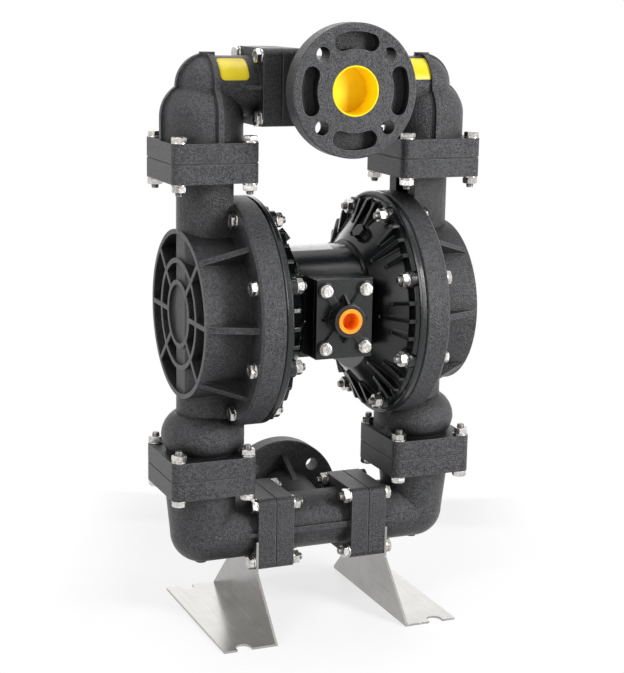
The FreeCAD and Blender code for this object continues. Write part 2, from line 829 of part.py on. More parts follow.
def inner_cover_fins(body):
    """Groups of cooling fins, short, long and short, between the bolts; and the nut bosses."""
    axis = (origin_feature(body, "X_Axis"), [""])
    fins = []
    for name, start, side in (
        ("long_fin", bowl_reach("long_fin_start"), 0),
        ("low_fin", bowl_reach("short_fin_start"), -1),
        ("high_fin", bowl_reach("short_fin_start"), 1),
    ):
        top = f"{bowl_x(start)} - fin_nose_height"
        turn = side * size("fin_angle")
        outline = [
            ("bowl_edge_x + 4", f"{GROOVE_RADIUS} - 2"),
            ("fin_top_x", f"{GROOVE_RADIUS} - 3"),
            (top, start),
            (f"{bowl_x(start)} + 6", start),
            ("bowl_edge_x + 4", BOWL_EDGE),
        ]
        fins.append(raised(body, name, "XZ_Plane", [outline], "fin_thick", middle=True,
                           tilt=turn))
        fins.append(raised(body, name + "_nose", "YZ_Plane",
                           [("circle", "0", start, "fin_thick / 2")],
                           "fin_nose_height + 4", offset=top, spin=turn))
    around(body, "fin_pattern", fins, axis, "chamber_bolts")
    places = "180 / chamber_bolts"
    boss = raised(body, "nut_boss", "YZ_Plane", [
        ("circle", f"{BOLT_CIRCLE} * cos({places})", f"{BOLT_CIRCLE} * sin({places})",
         "nut_boss_radius"),
    ], f"inner_flange_x - {NUT_SEAT} + 2", offset=NUT_SEAT)
    around(body, "nut_boss_pattern", [boss], axis, "chamber_bolts")


def inner_cover_bores(body):
    """Boss and blind thread of the service plug, and the hole that the pilot rod crosses."""
    reach = bowl_reach("service_plug_place")
    place = {
        "shift": (f"-{reach} * sin(service_plug_angle)", f"{reach} * cos(service_plug_angle)"),
        "offset": bowl_x(reach),
        "spin": size("service_plug_angle"),
        "tilt": math.degrees(math.atan(size(BOWL_SLOPE))),
    }
    raised(body, "service_boss", "YZ_Plane", [("circle", "0", "0", "service_boss_radius")],
           "2 * service_boss_height", middle=True, **place)
    raised(body, "service_hole", "YZ_Plane", [("circle", "0", "0", "service_plug_thread")],
           "2 * service_plug_shank", middle=True, cut=True, **place)
    raised(body, "pilot_hole", "YZ_Plane",
           [("circle", "0", "pilot_height", "pilot_radius + running_gap")],
           f"{AIR_FLOOR} - block_end_x + 2", offset="block_end_x - 1", cut=True)


def make_inner_covers():
    body = new_body("inner_cover_body", z="centre_z")
    inner_cover_bowl(body)
    inner_cover_fins(body)
    inner_cover_bores(body)
    right = drilled(body, "right_inner_cover", "inner_cover", chamber_holes())
    mirror_image(right, "left_inner_cover", "inner_cover_image")


def make_service_plugs():
    """A hexagonal plug that stands square on the bowl of each inner cover."""
    reach = size(bowl_reach("service_plug_place"))
    slope = size(BOWL_SLOPE)
    angle = math.radians(size("service_plug_angle"))
    radial = FreeCAD.Vector(0, -math.sin(angle), math.cos(angle))
    height = size("service_plug_height")
    head_radius = around_flats(size("service_plug_flats"), 6)
    thread = size("service_plug_thread - thread_gap")
    solids = []
    for side in (-1, 1):
        out = (X_AXIS * -side + radial * slope).normalize()
        bowl = X_AXIS * side * size(bowl_x(reach)) + radial * reach + Z_AXIS * size("centre_z")
        seat = bowl + out * size("service_boss_height")
        head = prism(head_radius, 6, seat, height, out)
        shank = prism(thread, SHANK_SIDES, seat, size("service_plug_shank"), out * -1)
        solids.append(head.fuse(shank).removeSplitter())
    keep(shape_part("service_plugs", Part.makeCompound(solids)), "service_plugs")


# ---------------------------------------------------------------------------------------------
# Diaphragms, plates and rod
# ---------------------------------------------------------------------------------------------

def make_diaphragms():
    """Rubber disc with a clamped bead at its rim and one rolling convolution."""
    body = new_body("diaphragm_body", z="centre_z")
    mid = "chamber_joint_x"
    low = f"{mid} - diaphragm_half"
    high = f"{mid} + diaphragm_half"
    deep = "convolution_depth"
    start = "plate_radius + 6"
    end = f"{BEAD_INNER} - 6"
    quarter = f"({end} - ({start})) / 4"
    turned(body, "diaphragm_disc", "XZ_Plane", [[
        (low, "stud_radius + running_gap"),
        (high, "stud_radius + running_gap"),
        (high, start),
        (f"{high} - {deep}", f"{start} + {quarter}"),
        (f"{high} - {deep}", f"{end} - {quarter}"),
        (high, end),
        (high, BEAD_INNER),
        (f"{mid} + bead_half", BEAD_INNER),
        (f"{mid} + bead_half", BEAD_OUTER),
        (f"{mid} - bead_half", BEAD_OUTER),
        (f"{mid} - bead_half", BEAD_INNER),
        (low, BEAD_INNER),
        (low, f"{end} - 1"),
        (f"{low} - {deep}", f"{end} - {quarter} - 1"),
        (f"{low} - {deep}", f"{start} + {quarter} + 1"),
        (low, f"{start} + 1"),
    ]])
    right = keep(body, "right_diaphragm")
    mirror_image(right, "left_diaphragm", "diaphragm_image")


def make_plates():
    """The plates that clamp each diaphragm: on its air side and on its wet side."""
    inner = new_body("inner_plate_body", z="centre_z")
    back = "chamber_joint_x - diaphragm_half"
    turned(inner, "inner_plate", "XZ_Plane", [[
        (PLATE_BACK, "stud_radius + running_gap"),
        (back, "stud_radius + running_gap"),
        (back, "plate_radius"),
        (f"{back} - plate_bevel", "plate_radius"),
        (PLATE_BACK, "plate_radius - 2 * plate_bevel"),
    ]])
    mirror_image(keep(inner, "right_inner_plate"), "left_inner_plate", "inner_plate_image")
    outer = new_body("outer_plate_body", z="centre_z")
    front = "chamber_joint_x + diaphragm_half"
    face = f"{front} + outer_plate_thick"
    stud = f"{PLATE_BACK} + stud_length"
    turned(outer, "outer_plate", "XZ_Plane", [[
        (front, "stud_radius + running_gap"),
        (front, "plate_radius"),
        (f"{front} + plate_bevel", "plate_radius"),
        (face, "plate_radius - 5 * plate_bevel"),
        (face, "0"),
        (f"{stud} + wall_gap", "0"),
        (f"{stud} + wall_gap", "stud_radius + running_gap"),
    ]])
    mirror_image(keep(outer, "right_outer_plate"), "left_outer_plate", "outer_plate_image")


def make_rod():
    """The rod that joins both diaphragms, with a stud at each end."""
    body = new_body("rod_body", z="centre_z")
    end = f"({PLATE_BACK} + stud_length)"
    turned(body, "rod", "XZ_Plane", [[
        (f"-{end}", "0"),
        (f"-{end}", "stud_radius"),
        (f"-{PLATE_BACK}", "stud_radius"),
        (f"-{PLATE_BACK}", "rod_radius"),
        (PLATE_BACK, "rod_radius"),
        (PLATE_BACK, "stud_radius"),
        (end, "stud_radius"),
        (end, "0"),
    ]])
    keep(body, "diaphragm_rod")


def ring_solid(inner, outer, start, length, direction):
    """A plain ring from a start point along a direction."""
    disc = Part.makeCylinder(outer, length, start, direction)
    return disc.cut(Part.makeCylinder(inner, length, start, direction))


def make_rod_bearings():
    """A bush and a lip seal in the hub of each inner cover."""
    axis_z = size("centre_z")
    bush_start = size("block_end_x")
    seal_start = size(f"{AIR_FLOOR} - rod_seal_length")
    inner = size("rod_radius + running_gap")
    outer = size("rod_bush_radius")
    bushes = []
    seals = []
    for side in (-1, 1):
        direction = X_AXIS * side
        start = FreeCAD.Vector(side * bush_start, 0, axis_z)
        bushes.append(ring_solid(inner, outer, start, seal_start - bush_start, direction))
        start = FreeCAD.Vector(side * seal_start, 0, axis_z)
        seals.append(ring_solid(inner, outer, start, size("rod_seal_length"), direction))
    keep(shape_part("rod_bushes", Part.makeCompound(bushes)), "rod_bushes")
    keep(shape_part("rod_seals", Part.makeCompound(seals)), "rod_seals")


# ---------------------------------------------------------------------------------------------
# Centre block with the air motor
# ---------------------------------------------------------------------------------------------

BLOCK_HALF = "(block_end_x - gasket_thick)"


def block_outline(radius, below):
    """Cross-section of the block: round on top about the rod axis, square below."""
    side = "block_half_depth"
    shoulder = f"sqrt(({radius})^2 - {side}^2)"
    return [
        (f"-{side}", f"-({below})"),
        (side, f"-({below})"),
        (side, shoulder, f"{radius}"),
        (f"-{side}", shoulder),
    ]


def make_centre_block():
    body = new_body("centre_block_body", z="centre_z")
    raised(body, "block", "YZ_Plane", [block_outline("block_radius", "block_below")],
           f"2 * {BLOCK_HALF}", middle=True)
    for name, start in (
        ("right_collar", f"{BLOCK_HALF} - collar_width"),
        ("left_collar", f"-{BLOCK_HALF}"),
    ):
        raised(body, name, "YZ_Plane", [block_outline("collar_radius", "block_below")],
               "collar_width", offset=start)
    raised(body, "exhaust_boss", "XZ_Plane", [("circle", "0", "0", "exhaust_boss_radius")],
           "exhaust_boss_y - block_half_depth + 2", offset="-(block_half_depth - 2)", back=True)
    raised(body, "exhaust_bore", "XZ_Plane", [("circle", "0", "0", "muffler_neck_radius")],
           "exhaust_boss_y - rod_radius - 8", offset="-(rod_radius + 8)",
           cut=True, back=True)
    raised(body, "rod_bore", "YZ_Plane", [("circle", "0", "0", "rod_radius + 1")],
           f"2 * {BLOCK_HALF} + 2", middle=True, cut=True)
    raised(body, "pilot_bore", "YZ_Plane", [("circle", "0", "pilot_height", "pilot_sleeve_radius")],
           f"2 * {BLOCK_HALF} + 2", middle=True, cut=True)
    start_y = -size("block_half_depth") - 1
    depth = size("inlet_screw_length - inlet_arm_y") - start_y + 5
    holes = [
        hole(FreeCAD.Vector(x, start_y, z), depth, Y_AXIS, "screw_thread_radius + thread_gap")
        for x, z in inlet_screw_places()
    ]
    drilled(body, "centre_block", "centre_block_drilled", holes)


def make_block_gaskets():
    """A gasket between each end of the block and its inner cover."""
    body = new_body("gasket_body", z="centre_z")
    outline = block_outline("collar_radius", "block_below")
    raised(body, "gasket", "YZ_Plane", [
        outline,
        ("circle", "0", "0", "rod_bush_radius + 2"),
        ("circle", "0", "pilot_height", "pilot_sleeve_radius + 2"),
    ], "gasket_thick", offset=BLOCK_HALF)
    mirror_image(keep(body, "right_block_gasket"), "left_block_gasket", "gasket_image")


def make_pilot_valve():
    """Pilot rod in its sleeve; the diaphragm plates push it at the end of each stroke."""
    sleeve = new_body("pilot_sleeve_body", z="centre_z + pilot_height")
    turned(sleeve, "sleeve_tube", "XZ_Plane", [
        rectangle(f"-{BLOCK_HALF}", "pilot_radius + running_gap", BLOCK_HALF,
                  "pilot_sleeve_radius"),
    ])
    keep(sleeve, "pilot_sleeve")
    rod = new_body("pilot_rod_body", z="centre_z + pilot_height")
    waist = "pilot_radius * 0.7"
    half = "pilot_waist_half"
    end = f"({PLATE_BACK} - stroke - pilot_end_gap)"
    turned(rod, "pilot_bar", "XZ_Plane", [[
        (f"-{end}", "0"),
        (f"-{end}", "pilot_radius"),
        (f"-{half}", "pilot_radius"),
        (f"-{half}", waist),
        (half, waist),
        (half, "pilot_radius"),
        (end, "pilot_radius"),
        (end, "0"),
    ]])
    keep(rod, "pilot_rod")


VALVE_BASE_Z = "(centre_z + inlet_centre_z)"


def valve_face(grow="0"):
    return rectangle(f"-valve_half_width - ({grow})", "-(valve_below + inlet_centre_z)",
                     f"valve_half_width + {grow}", "valve_above - inlet_centre_z")


def make_valve_block():
    """The block in front of the centre block, with the bore of the main air spool."""
    body = new_body("valve_block_body", z=VALVE_BASE_Z)
    raised(body, "valve_body", "XZ_Plane", [valve_face()], "valve_front_y - block_half_depth",
           offset="block_half_depth")
    raised(body, "spool_bore", "YZ_Plane", [("circle", "-spool_y", "0", "spool_bore_radius")],
           "2 * valve_half_width + 2", middle=True, cut=True)
    raised(body, "air_passage", "XZ_Plane", [("circle", "0", "0", "inlet_bore_radius - 3")],
           "valve_front_y - spool_y + 1", offset="spool_y", cut=True)
    start = FreeCAD.Vector(0, -size("valve_front_y") - 1, 0)
    length = size("valve_front_y - block_half_depth") + 2
    holes = [
        hole(start + FreeCAD.Vector(x, 0, z), length, Y_AXIS, "screw_hole_radius")
        for x, z in inlet_screw_places()
    ]
    drilled(body, "air_valve_block", "valve_block", holes)


def make_spool():
    """Main air valve: a spool with three lands, between two plugs."""
    body = new_body("spool_body", y="-spool_y", z=VALVE_BASE_Z)
    land = "spool_bore_radius - running_gap"
    waist = "spool_waist_radius"
    end = "(valve_half_width - spool_plug_thick - spool_stroke - spool_end_gap)"
    half = "spool_land / 2"
    turned(body, "spool", "XZ_Plane", [[
        (f"-{end}", "0"),
        (f"-{end}", land),
        (f"-{end} + spool_land", land),
        (f"-{end} + spool_land", waist),
        (f"-{half}", waist),
        (f"-{half}", land),
        (half, land),
        (half, waist),
        (f"{end} - spool_land", waist),
        (f"{end} - spool_land", land),
        (end, land),
        (end, "0"),
    ]])
    keep(body, "valve_spool")
    plugs = []
    for side in (-1, 1):
        start = FreeCAD.Vector(side * size("valve_half_width"), -size("spool_y"),
                               size(VALVE_BASE_Z))
        plugs.append(Part.makeCylinder(size("spool_bore_radius"), size("spool_plug_thick"),
                                       start, X_AXIS * -side))
    keep(shape_part("valve_end_plugs", Part.makeCompound(plugs)), "valve_end_plugs")


def make_inlet_gasket():
    body = new_body("inlet_gasket_body", z=VALVE_BASE_Z)
    raised(body, "inlet_gasket_sheet", "XZ_Plane",
           [valve_face("-0.5"), ("circle", "0", "0", "inlet_bore_radius")],
           "inlet_gasket_thick", offset="valve_front_y")
    start = FreeCAD.Vector(0, -size("valve_front_y") - 3, 0)
    holes = [
        hole(start + FreeCAD.Vector(x, 0, z), 5, Y_AXIS, "screw_hole_radius")
        for x, z in inlet_screw_places()
    ]
    drilled(body, "inlet_gasket", "inlet_gasket_cut", holes)


def make_inlet_plate():
    """Air inlet plate: port boss in the middle, joined by four arms to the screw bosses."""
    body = new_body("inlet_plate_body", z=VALVE_BASE_Z)
    back = "(valve_front_y + inlet_gasket_thick)"
    raised(body, "inlet_plate", "XZ_Plane", [valve_face()], f"inlet_plate_front_y - {back}",
           offset=back)
    corners = [
        ("circle", f"{a}inlet_screw_x", f"{b}inlet_screw_z", "inlet_corner_radius")
        for a in ("-", "") for b in ("-", "")
    ]
    raised(body, "inlet_bosses", "XZ_Plane", corners, f"inlet_arm_y - {back} - 1",
           offset=f"{back} + 1")
    for name, lean in (("rising_arm", "1"), ("falling_arm", "-1")):
        half = "(inlet_corner_radius * 0.62)"
        reach_x = "inlet_screw_x"
        reach_z = f"({lean} * inlet_screw_z)"
        raised(body, name, "XZ_Plane", [[
            (f"-{reach_x} - {half}", f"-{reach_z}"),
            (f"-{reach_x} + {half}", f"-{reach_z}"),
            (f"{reach_x} + {half}", reach_z),
            (f"{reach_x} - {half}", reach_z),
        ]], f"inlet_arm_y - {back} - 1", offset=f"{back} + 1")
    raised(body, "inlet_boss", "XZ_Plane", [("circle", "0", "0", "inlet_boss_radius")],
           f"inlet_boss_y - {back} - 1", offset=f"{back} + 1")
    gusset = raised(body, "inlet_gusset", "YZ_Plane", [[
        ("-inlet_plate_front_y + 1", "inlet_boss_radius - 3"),
        ("-inlet_plate_front_y + 1", "inlet_gusset_reach"),
        ("-inlet_boss_y + 2", "inlet_boss_radius - 1"),
        ("-inlet_boss_y + 2", "inlet_boss_radius - 3"),
    ]], "inlet_gusset_thick", middle=True)
    around(body, "inlet_gussets", [gusset], (origin_feature(body, "Y_Axis"), [""]), "4")
    raised(body, "inlet_passage", "XZ_Plane", [("circle", "0", "0", "inlet_bore_radius - 3")],
           f"inlet_bore_floor_y - {back} + 2", offset=f"{back} - 1", cut=True)
    raised(body, "inlet_bore", "XZ_Plane", [("circle", "0", "0", "inlet_bore_radius")],
           "inlet_boss_y - inlet_bore_floor_y + 1", offset="inlet_bore_floor_y",
           cut=True)
    start = FreeCAD.Vector(0, -size("inlet_arm_y") - 1, 0)
    length = size(f"inlet_arm_y - {back}") + 2
    holes = [
        hole(start + FreeCAD.Vector(x, 0, z), length, Y_AXIS, "screw_hole_radius")
        for x, z in inlet_screw_places()
    ]
    drilled(body, "air_inlet_plate", "inlet_plate_drilled", holes)


def make_muffler():
    """Exhaust muffler screwed into the back of the centre block."""
    body = new_body("muffler_body", z="centre_z")
    start = "(exhaust_boss_y - muffler_neck)"
    turned(body, "muffler", "YZ_Plane", [[
        (start, "0"),
        (start, "muffler_neck_radius - thread_gap"),
        ("exhaust_boss_y", "muffler_neck_radius - thread_gap"),
        ("exhaust_boss_y", "muffler_radius - 4"),
        ("exhaust_boss_y + 4", "muffler_radius"),
        ("muffler_end_y - 8", "muffler_radius"),
        ("muffler_end_y", "muffler_radius - 8"),
        ("muffler_end_y", "0"),
    ]])
    keep(body, "exhaust_muffler")


# ---------------------------------------------------------------------------------------------
# Manifolds: tees with port flanges, and elbows
# ---------------------------------------------------------------------------------------------

def tee_outside(body):
    """Barrel between the elbows, conical neck and port flange.  The port faces -Y."""
    raised(body, "barrel", "YZ_Plane", [("circle", "0", "0", "barrel_radius")],
           "2 * manifold_joint_x - 2", middle=True)
    manifold_flange(body, "right_flange", "manifold_joint_x", -1)
    manifold_flange(body, "left_flange", "-manifold_joint_x", 1)
    turned(body, "port_neck", "YZ_Plane", [[
        ("0", "0"),
        ("-port_reach", "0"),
        ("-port_reach", "port_flange_radius - 1.5"),
        ("-port_reach + 1.5", "port_flange_radius"),
        ("-port_reach + port_flange_thick - 1.5", "port_flange_radius"),
        ("-port_reach + port_flange_thick", "port_flange_radius - 1.5"),
        ("-port_reach + port_flange_thick", "port_neck_radius"),
        ("-barrel_radius", "barrel_radius"),
        ("0", "barrel_radius"),
    ]])
    back = "(-port_reach + port_flange_thick)"
    rib = raised(body, "port_rib", "YZ_Plane", [[
        (f"{back} - 1", "port_neck_radius - 6"),
        (f"{back} - 1", "port_rib_reach"),
        (f"{back} + 3", "port_rib_reach"),
        ("-manifold_flange_size / 2 - 3", "barrel_radius + 2"),
        ("-manifold_flange_size / 2 - 3", "barrel_radius - 6"),
    ]], "port_rib_thick", middle=True)
    around(body, "port_ribs", [rib], (origin_feature(body, "Y_Axis"), [""]), "4")
    raised(body, "barrel_ridge_bar", "XZ_Plane", [
        rectangle("-manifold_joint_x + 5", "-barrel_ridge", "manifold_joint_x - 5",
                  "barrel_ridge"),
    ], "barrel_radius + barrel_ridge - 20", offset="-(barrel_radius + barrel_ridge)")


def kidney_pockets(body):
    """Four blind arc-shaped pockets in the face of the port flange."""
    inner = "kidney_circle - kidney_half_width"
    outer = "kidney_circle + kidney_half_width"
    arc = turned(body, "kidney_arc", "YZ_Plane", [
        rectangle("-port_reach - 1", inner, "-port_reach + kidney_depth", outer),
    ], cut=True, angle="kidney_angle")
    ends = raised(body, "kidney_ends", "XZ_Plane", [
        ("circle", f"{sign} kidney_circle * sin(kidney_angle / 2)",
         "kidney_circle * cos(kidney_angle / 2)", "kidney_half_width")
        for sign in ("-", "")
    ], "kidney_depth + 1", offset="port_reach - kidney_depth", cut=True)
    axis = (origin_feature(body, "Y_Axis"), [""])
    around(body, "kidney_pattern", [arc, ends], axis, "4")


def tee_inside(body):
    """Passages, port mouth and the four bolt holes of the port flange."""
    raised(body, "barrel_bore", "YZ_Plane", [("circle", "0", "0", "passage_radius")],
           "2 * manifold_joint_x + 2", middle=True, cut=True)
    turned(body, "port_bore", "YZ_Plane", [[
        ("0", "0"),
        ("-port_reach - 1", "0"),
        ("-port_reach - 1", "port_mouth_radius"),
        ("-port_reach + port_mouth_depth", "port_mouth_radius"),
        ("-port_reach + port_mouth_depth", "passage_radius - 3"),
        ("0", "passage_radius - 3"),
    ]], cut=True)
    bolt = raised(body, "port_bolt_hole", "XZ_Plane", [
        ("circle", "port_bolt_circle * cos(45)", "port_bolt_circle * sin(45)",
         "port_bolt_hole_radius"),
    ], "port_flange_thick + 2", offset="port_reach - port_flange_thick - 1", cut=True)
    around(body, "port_bolt_holes", [bolt], (origin_feature(body, "Y_Axis"), [""]), "4")


def make_tee(label, axis_z, turn):
    body = new_body(label + "_body", z=axis_z)
    tee_outside(body)
    tee_inside(body)
    kidney_pockets(body)
    body.Placement = FreeCAD.Placement(body.Placement.Base, FreeCAD.Rotation(Z_AXIS, turn))
    holes = manifold_holes(axis_z, 1) + manifold_holes(axis_z, -1)
    drilled(body, label, label + "_drilled", holes)


def elbow_leg(body, leg_radius, corner_x):
    """Horizontal leg from the corner towards the tee, and its square flange."""
    start = "(manifold_joint_x + manifold_flange_thick - 1)"
    raised(body, "leg", "YZ_Plane", [("circle", "0", "0", leg_radius)],
           f"{corner_x} - {start}", offset=start)
    manifold_flange(body, "manifold_flange", "manifold_joint_x", 1)


def leg_side_ribs(body, radius, height):
    """A tapered rib on the front and back of the leg, running into the square flange."""
    for name, side in (("front_leg_rib", "-"), ("back_leg_rib", "")):
        raised(body, name, "XY_Plane", [[
            ("manifold_joint_x + manifold_flange_thick - 2", f"{side}({radius} - 6)"),
            ("manifold_joint_x + manifold_flange_thick - 2", f"{side}({radius} + 5)"),
            ("manifold_joint_x + manifold_flange_thick + 22", f"{side}({radius} - 1)"),
            ("manifold_joint_x + manifold_flange_thick + 22", f"{side}({radius} - 6)"),
        ]], height, middle=True)


def elbow_passages(body, corner_x):
    """Bore of the leg, and the groove of the face seal."""
    raised(body, "leg_bore", "YZ_Plane", [("circle", "0", "0", "passage_radius")],
           f"{corner_x} - manifold_joint_x + 1", offset="manifold_joint_x - 1", cut=True)
    raised(body, "seal_groove", "YZ_Plane", [("circle", "0", "0", "face_seal_radius")],
           "face_seal_depth + 1", offset="manifold_joint_x - 1", cut=True)


# The leg's corner stands a little inwards of the ball housing under it.
ELBOW_CORNER_X = "(column_x - elbow_setback)"


def half_disc(radius):
    """Half a disc, whose turn about the vertical makes a ball."""
    return [("0", f"-{radius}", radius), (radius, "0", radius), ("0", radius)]


def discharge_elbow_ribs(body, joint, shoulder, leg):
    """Seam ribs over the dome and the leg's corner, and the boss on top."""
    rib = "seam_rib_height"
    dome = f"(dome_radius + {rib})"
    corner = f"({leg} + {rib})"
    curve = f"(dome_curve + {rib})"
    raised(body, "seam_rib", "YZ_Plane", [[
        (f"-{dome}", f"{joint} + 5"),
        (dome, f"{joint} + 5"),
        (dome, shoulder, curve),
        (corner, "-dome_pinch"),
        (corner, "0", corner),
        ("0", corner, corner),
        (f"-{corner}", "0"),
        (f"-{corner}", "-dome_pinch", curve),
        (f"-{dome}", shoulder),
    ]], "seam_rib_thick", offset=ELBOW_CORNER_X, middle=True)
    raised(body, "outer_seam_rib", "XZ_Plane", [[
        ("0", f"{joint} + 5"),
        (dome, f"{joint} + 5"),
        (dome, shoulder, curve),
        (f"{corner} - elbow_setback", "0", corner),
        ("-elbow_setback", corner),
    ]], "seam_rib_thick", shift=("column_x", "0"), middle=True)
    raised(body, "top_boss", "XY_Plane", [("circle", ELBOW_CORNER_X, "0", "top_boss_radius")],
           f"{corner} + 1 - 20", offset="20")


def make_discharge_elbows():
    """Elbow over the chamber outlet: a dome round the discharge ball, and a level leg."""
    body = new_body("discharge_elbow_body", z="discharge_z")
    joint = "(joint_top_z - discharge_z)"
    base = f"{joint} + column_flange_thick"
    shoulder = f"{base} + dome_shoulder"
    leg = "elbow_leg_radius"
    turned(body, "dome", "XZ_Plane", [[
        ("0", f"{joint} + 5"),
        ("dome_radius", f"{joint} + 5"),
        ("dome_radius", shoulder, "dome_curve"),
        ("dome_top_radius", "0"),
        ("0", "0"),
    ]], axis="V_Axis", shift=("column_x", "0"))
    turned(body, "elbow_corner", "XZ_Plane", [half_disc(leg)], axis="V_Axis",
           shift=(ELBOW_CORNER_X, "0"))
    discharge_elbow_ribs(body, joint, shoulder, leg)
    column_flange(body, "column_flange", joint, 1)
    elbow_leg(body, leg, ELBOW_CORNER_X)
    leg_side_ribs(body, leg, "5")
    elbow_passages(body, ELBOW_CORNER_X)
    ball_housing_cavity(body, "elbow_ball_space", joint, "housing_bore_radius",
                        "elbow_throat_radius", "-8")
    turned(body, "elbow_corner_space", "XZ_Plane", [half_disc("passage_radius")],
           axis="V_Axis", shift=(ELBOW_CORNER_X, "0"), cut=True)
    ball_guides(body, "elbow_ball_guide", joint, "housing_bore_radius",
                "elbow_throat_radius + 4")
    holes = column_holes("joint_top_z") + manifold_holes("discharge_z")
    right = drilled(body, "right_discharge_elbow", "discharge_elbow", holes)
    mirror_image(right, "left_discharge_elbow", "discharge_elbow_image")


def make_suction_elbows():
    """Elbow under the chamber inlet: a rounded corner and a throat that widens to the joint."""
    body = new_body("suction_elbow_body", z="suction_z")
    joint = "(joint_bottom_z - suction_z)"
    leg = "suction_leg_radius"
    turned(body, "corner", "XZ_Plane", [[
        ("0", f"-{leg}", leg),
        (leg, "0"),
        ("suction_throat_radius", f"{joint} - column_flange_thick"),
        ("suction_throat_radius", f"{joint} - 5"),
        ("0", f"{joint} - 5"),
    ]], axis="V_Axis", shift=("column_x", "0"))
    raised(body, "drain_boss", "XY_Plane", [("circle", "column_x", "0", "drain_boss_radius")],
           f"{leg} + drain_boss_height - 20", offset="-20", back=True)
    column_flange(body, "column_flange", joint, -1)
    elbow_leg(body, leg, "column_x")
    leg_side_ribs(body, leg, "5")
    elbow_passages(body, "column_x")
    turned(body, "corner_space", "XZ_Plane", [[
        ("0", "-passage_radius", "passage_radius"),
        ("passage_radius", "0"),
        ("passage_radius + 4", f"{joint} - seat_rim_half - 12"),
        ("seat_bore_radius + 4", f"{joint} - seat_rim_half"),
        ("seat_rim_radius + wall_gap", f"{joint} - seat_rim_half"),
        ("seat_rim_radius + wall_gap", f"{joint} + 1"),
        ("0", f"{joint} + 1"),
    ]], axis="V_Axis", shift=("column_x", "0"), cut=True)
    holes = column_holes("joint_bottom_z") + manifold_holes("suction_z")
    right = drilled(body, "right_suction_elbow", "suction_elbow", holes)
    mirror_image(right, "left_suction_elbow", "suction_elbow_image")


def make_manifold_seals():
    """A ring in the face of each elbow, pressed by the tee."""
    outer = size("face_seal_radius")
    inner = outer - size("face_seal_width")
    rings = [
        ring_solid(inner, outer, FreeCAD.Vector(side * size("manifold_joint_x"), 0, size(level)),
                   size("face_seal_depth"), X_AXIS * side)
        for side in (-1, 1) for level in ("suction_z", "discharge_z")
    ]
    keep(shape_part("manifold_seals", Part.makeCompound(rings)), "manifold_seals")


# ---------------------------------------------------------------------------------------------
# Valve seats and balls
# ---------------------------------------------------------------------------------------------

def make_valves():
    """Seat and ball at the inlet and outlet of each chamber, and the ring round each seat."""
    rings = []
    for kind, joint in (("suction", "joint_bottom_z"), ("discharge", "joint_top_z")):
        seat = new_body(kind + "_seat_body", x="column_x", z=joint)
        turned(seat, kind + "_seat", "XZ_Plane", [[
            ("seat_bore_radius", "-seat_rim_half"),
            ("seat_rim_radius", "-seat_rim_half"),
            ("seat_rim_radius", "seat_rim_half"),
            ("seat_lip_radius + 3", "seat_rim_half"),
            ("seat_lip_radius", "seat_top"),
            ("seat_edge_radius", "seat_top"),
            ("seat_bore_radius", "seat_top - 6"),
        ]], axis="V_Axis")
        keep(seat, f"right_{kind}_seat")
        mirror_image(seat, f"left_{kind}_seat", kind + "_seat_image")
        for side, sign in (("right", ""), ("left", "-")):
            ball = doc.addObject("Part::Sphere", f"{side}_{kind}_ball_sphere")
            tie(ball, "Radius", "ball_radius")
            tie(ball, "Placement.Base.x", f"{sign}column_x")
            tie(ball, "Placement.Base.z", f"{joint} + {BALL_CENTRE}")
            keep(ball, f"{side}_{kind}_ball")
            start = point(f"{sign}column_x", "0", joint)
            rings.append(ring_solid(size("seat_rim_radius"),
                                    size("seat_rim_radius + seat_ring_width"),
                                    start, size("seat_rim_half"), Z_AXIS))
    keep(shape_part("seat_seals", Part.makeCompound(rings)), "seat_seals")


# ---------------------------------------------------------------------------------------------
# Feet
# ---------------------------------------------------------------------------------------------

def make_feet():
    """Bent sheet bracket: a base with an open slot at each end, and a web on the flange."""
    body = new_body("foot_body")
    web_x = "(manifold_joint_x + manifold_flange_thick)"
    half = "foot_half_length"
    slot = "foot_slot_radius"
    slot_y = f"({half} - foot_slot_depth + {slot})"
    raised(body, "foot_base", "XY_Plane", [[
        (web_x, f"-{half}"),
        (f"foot_slot_x - {slot}", f"-{half}"),
        (f"foot_slot_x - {slot}", f"-{slot_y}", f"-{slot} * 1.0001"),
        (f"foot_slot_x + {slot}", f"-{slot_y}"),
        (f"foot_slot_x + {slot}", f"-{half}"),
        ("foot_outer_x", f"-{half}"),
        ("foot_outer_x", half),
        (f"foot_slot_x + {slot}", half),
        (f"foot_slot_x + {slot}", slot_y, f"-{slot} * 1.0001"),
        (f"foot_slot_x - {slot}", slot_y),
        (f"foot_slot_x - {slot}", half),
        (web_x, half),
    ]], "foot_thick")
    ear = "manifold_flange_size / 2"
    raised(body, "foot_web", "YZ_Plane", [[
        (f"-{half}", "0"),
        (half, "0"),
        (half, "foot_thick"),
        (ear, "foot_shoulder_z"),
        (ear, "foot_ear_z"),
        (f"-{ear}", "foot_ear_z"),
        (f"-{ear}", "foot_shoulder_z"),
        (f"-{half}", "foot_thick"),
    ]], "foot_thick", offset=web_x)
    raised(body, "foot_leg_cut", "YZ_Plane",
           [("circle", "0", "suction_z", "suction_leg_radius + foot_leg_gap")],
           "foot_thick + 2", offset=f"{web_x} - 1", cut=True)
    start = size(web_x) - 1
    holes = [
        hole(FreeCAD.Vector(start, y, z), size("foot_thick") + 2, X_AXIS)
        for y, z in manifold_bolt_places("suction_z") if z < size("suction_z")
    ]
    right = drilled(body, "right_foot", "foot", holes)
    mirror_image(right, "left_foot", "foot_image")


# ---------------------------------------------------------------------------------------------
# Fasteners
# ---------------------------------------------------------------------------------------------

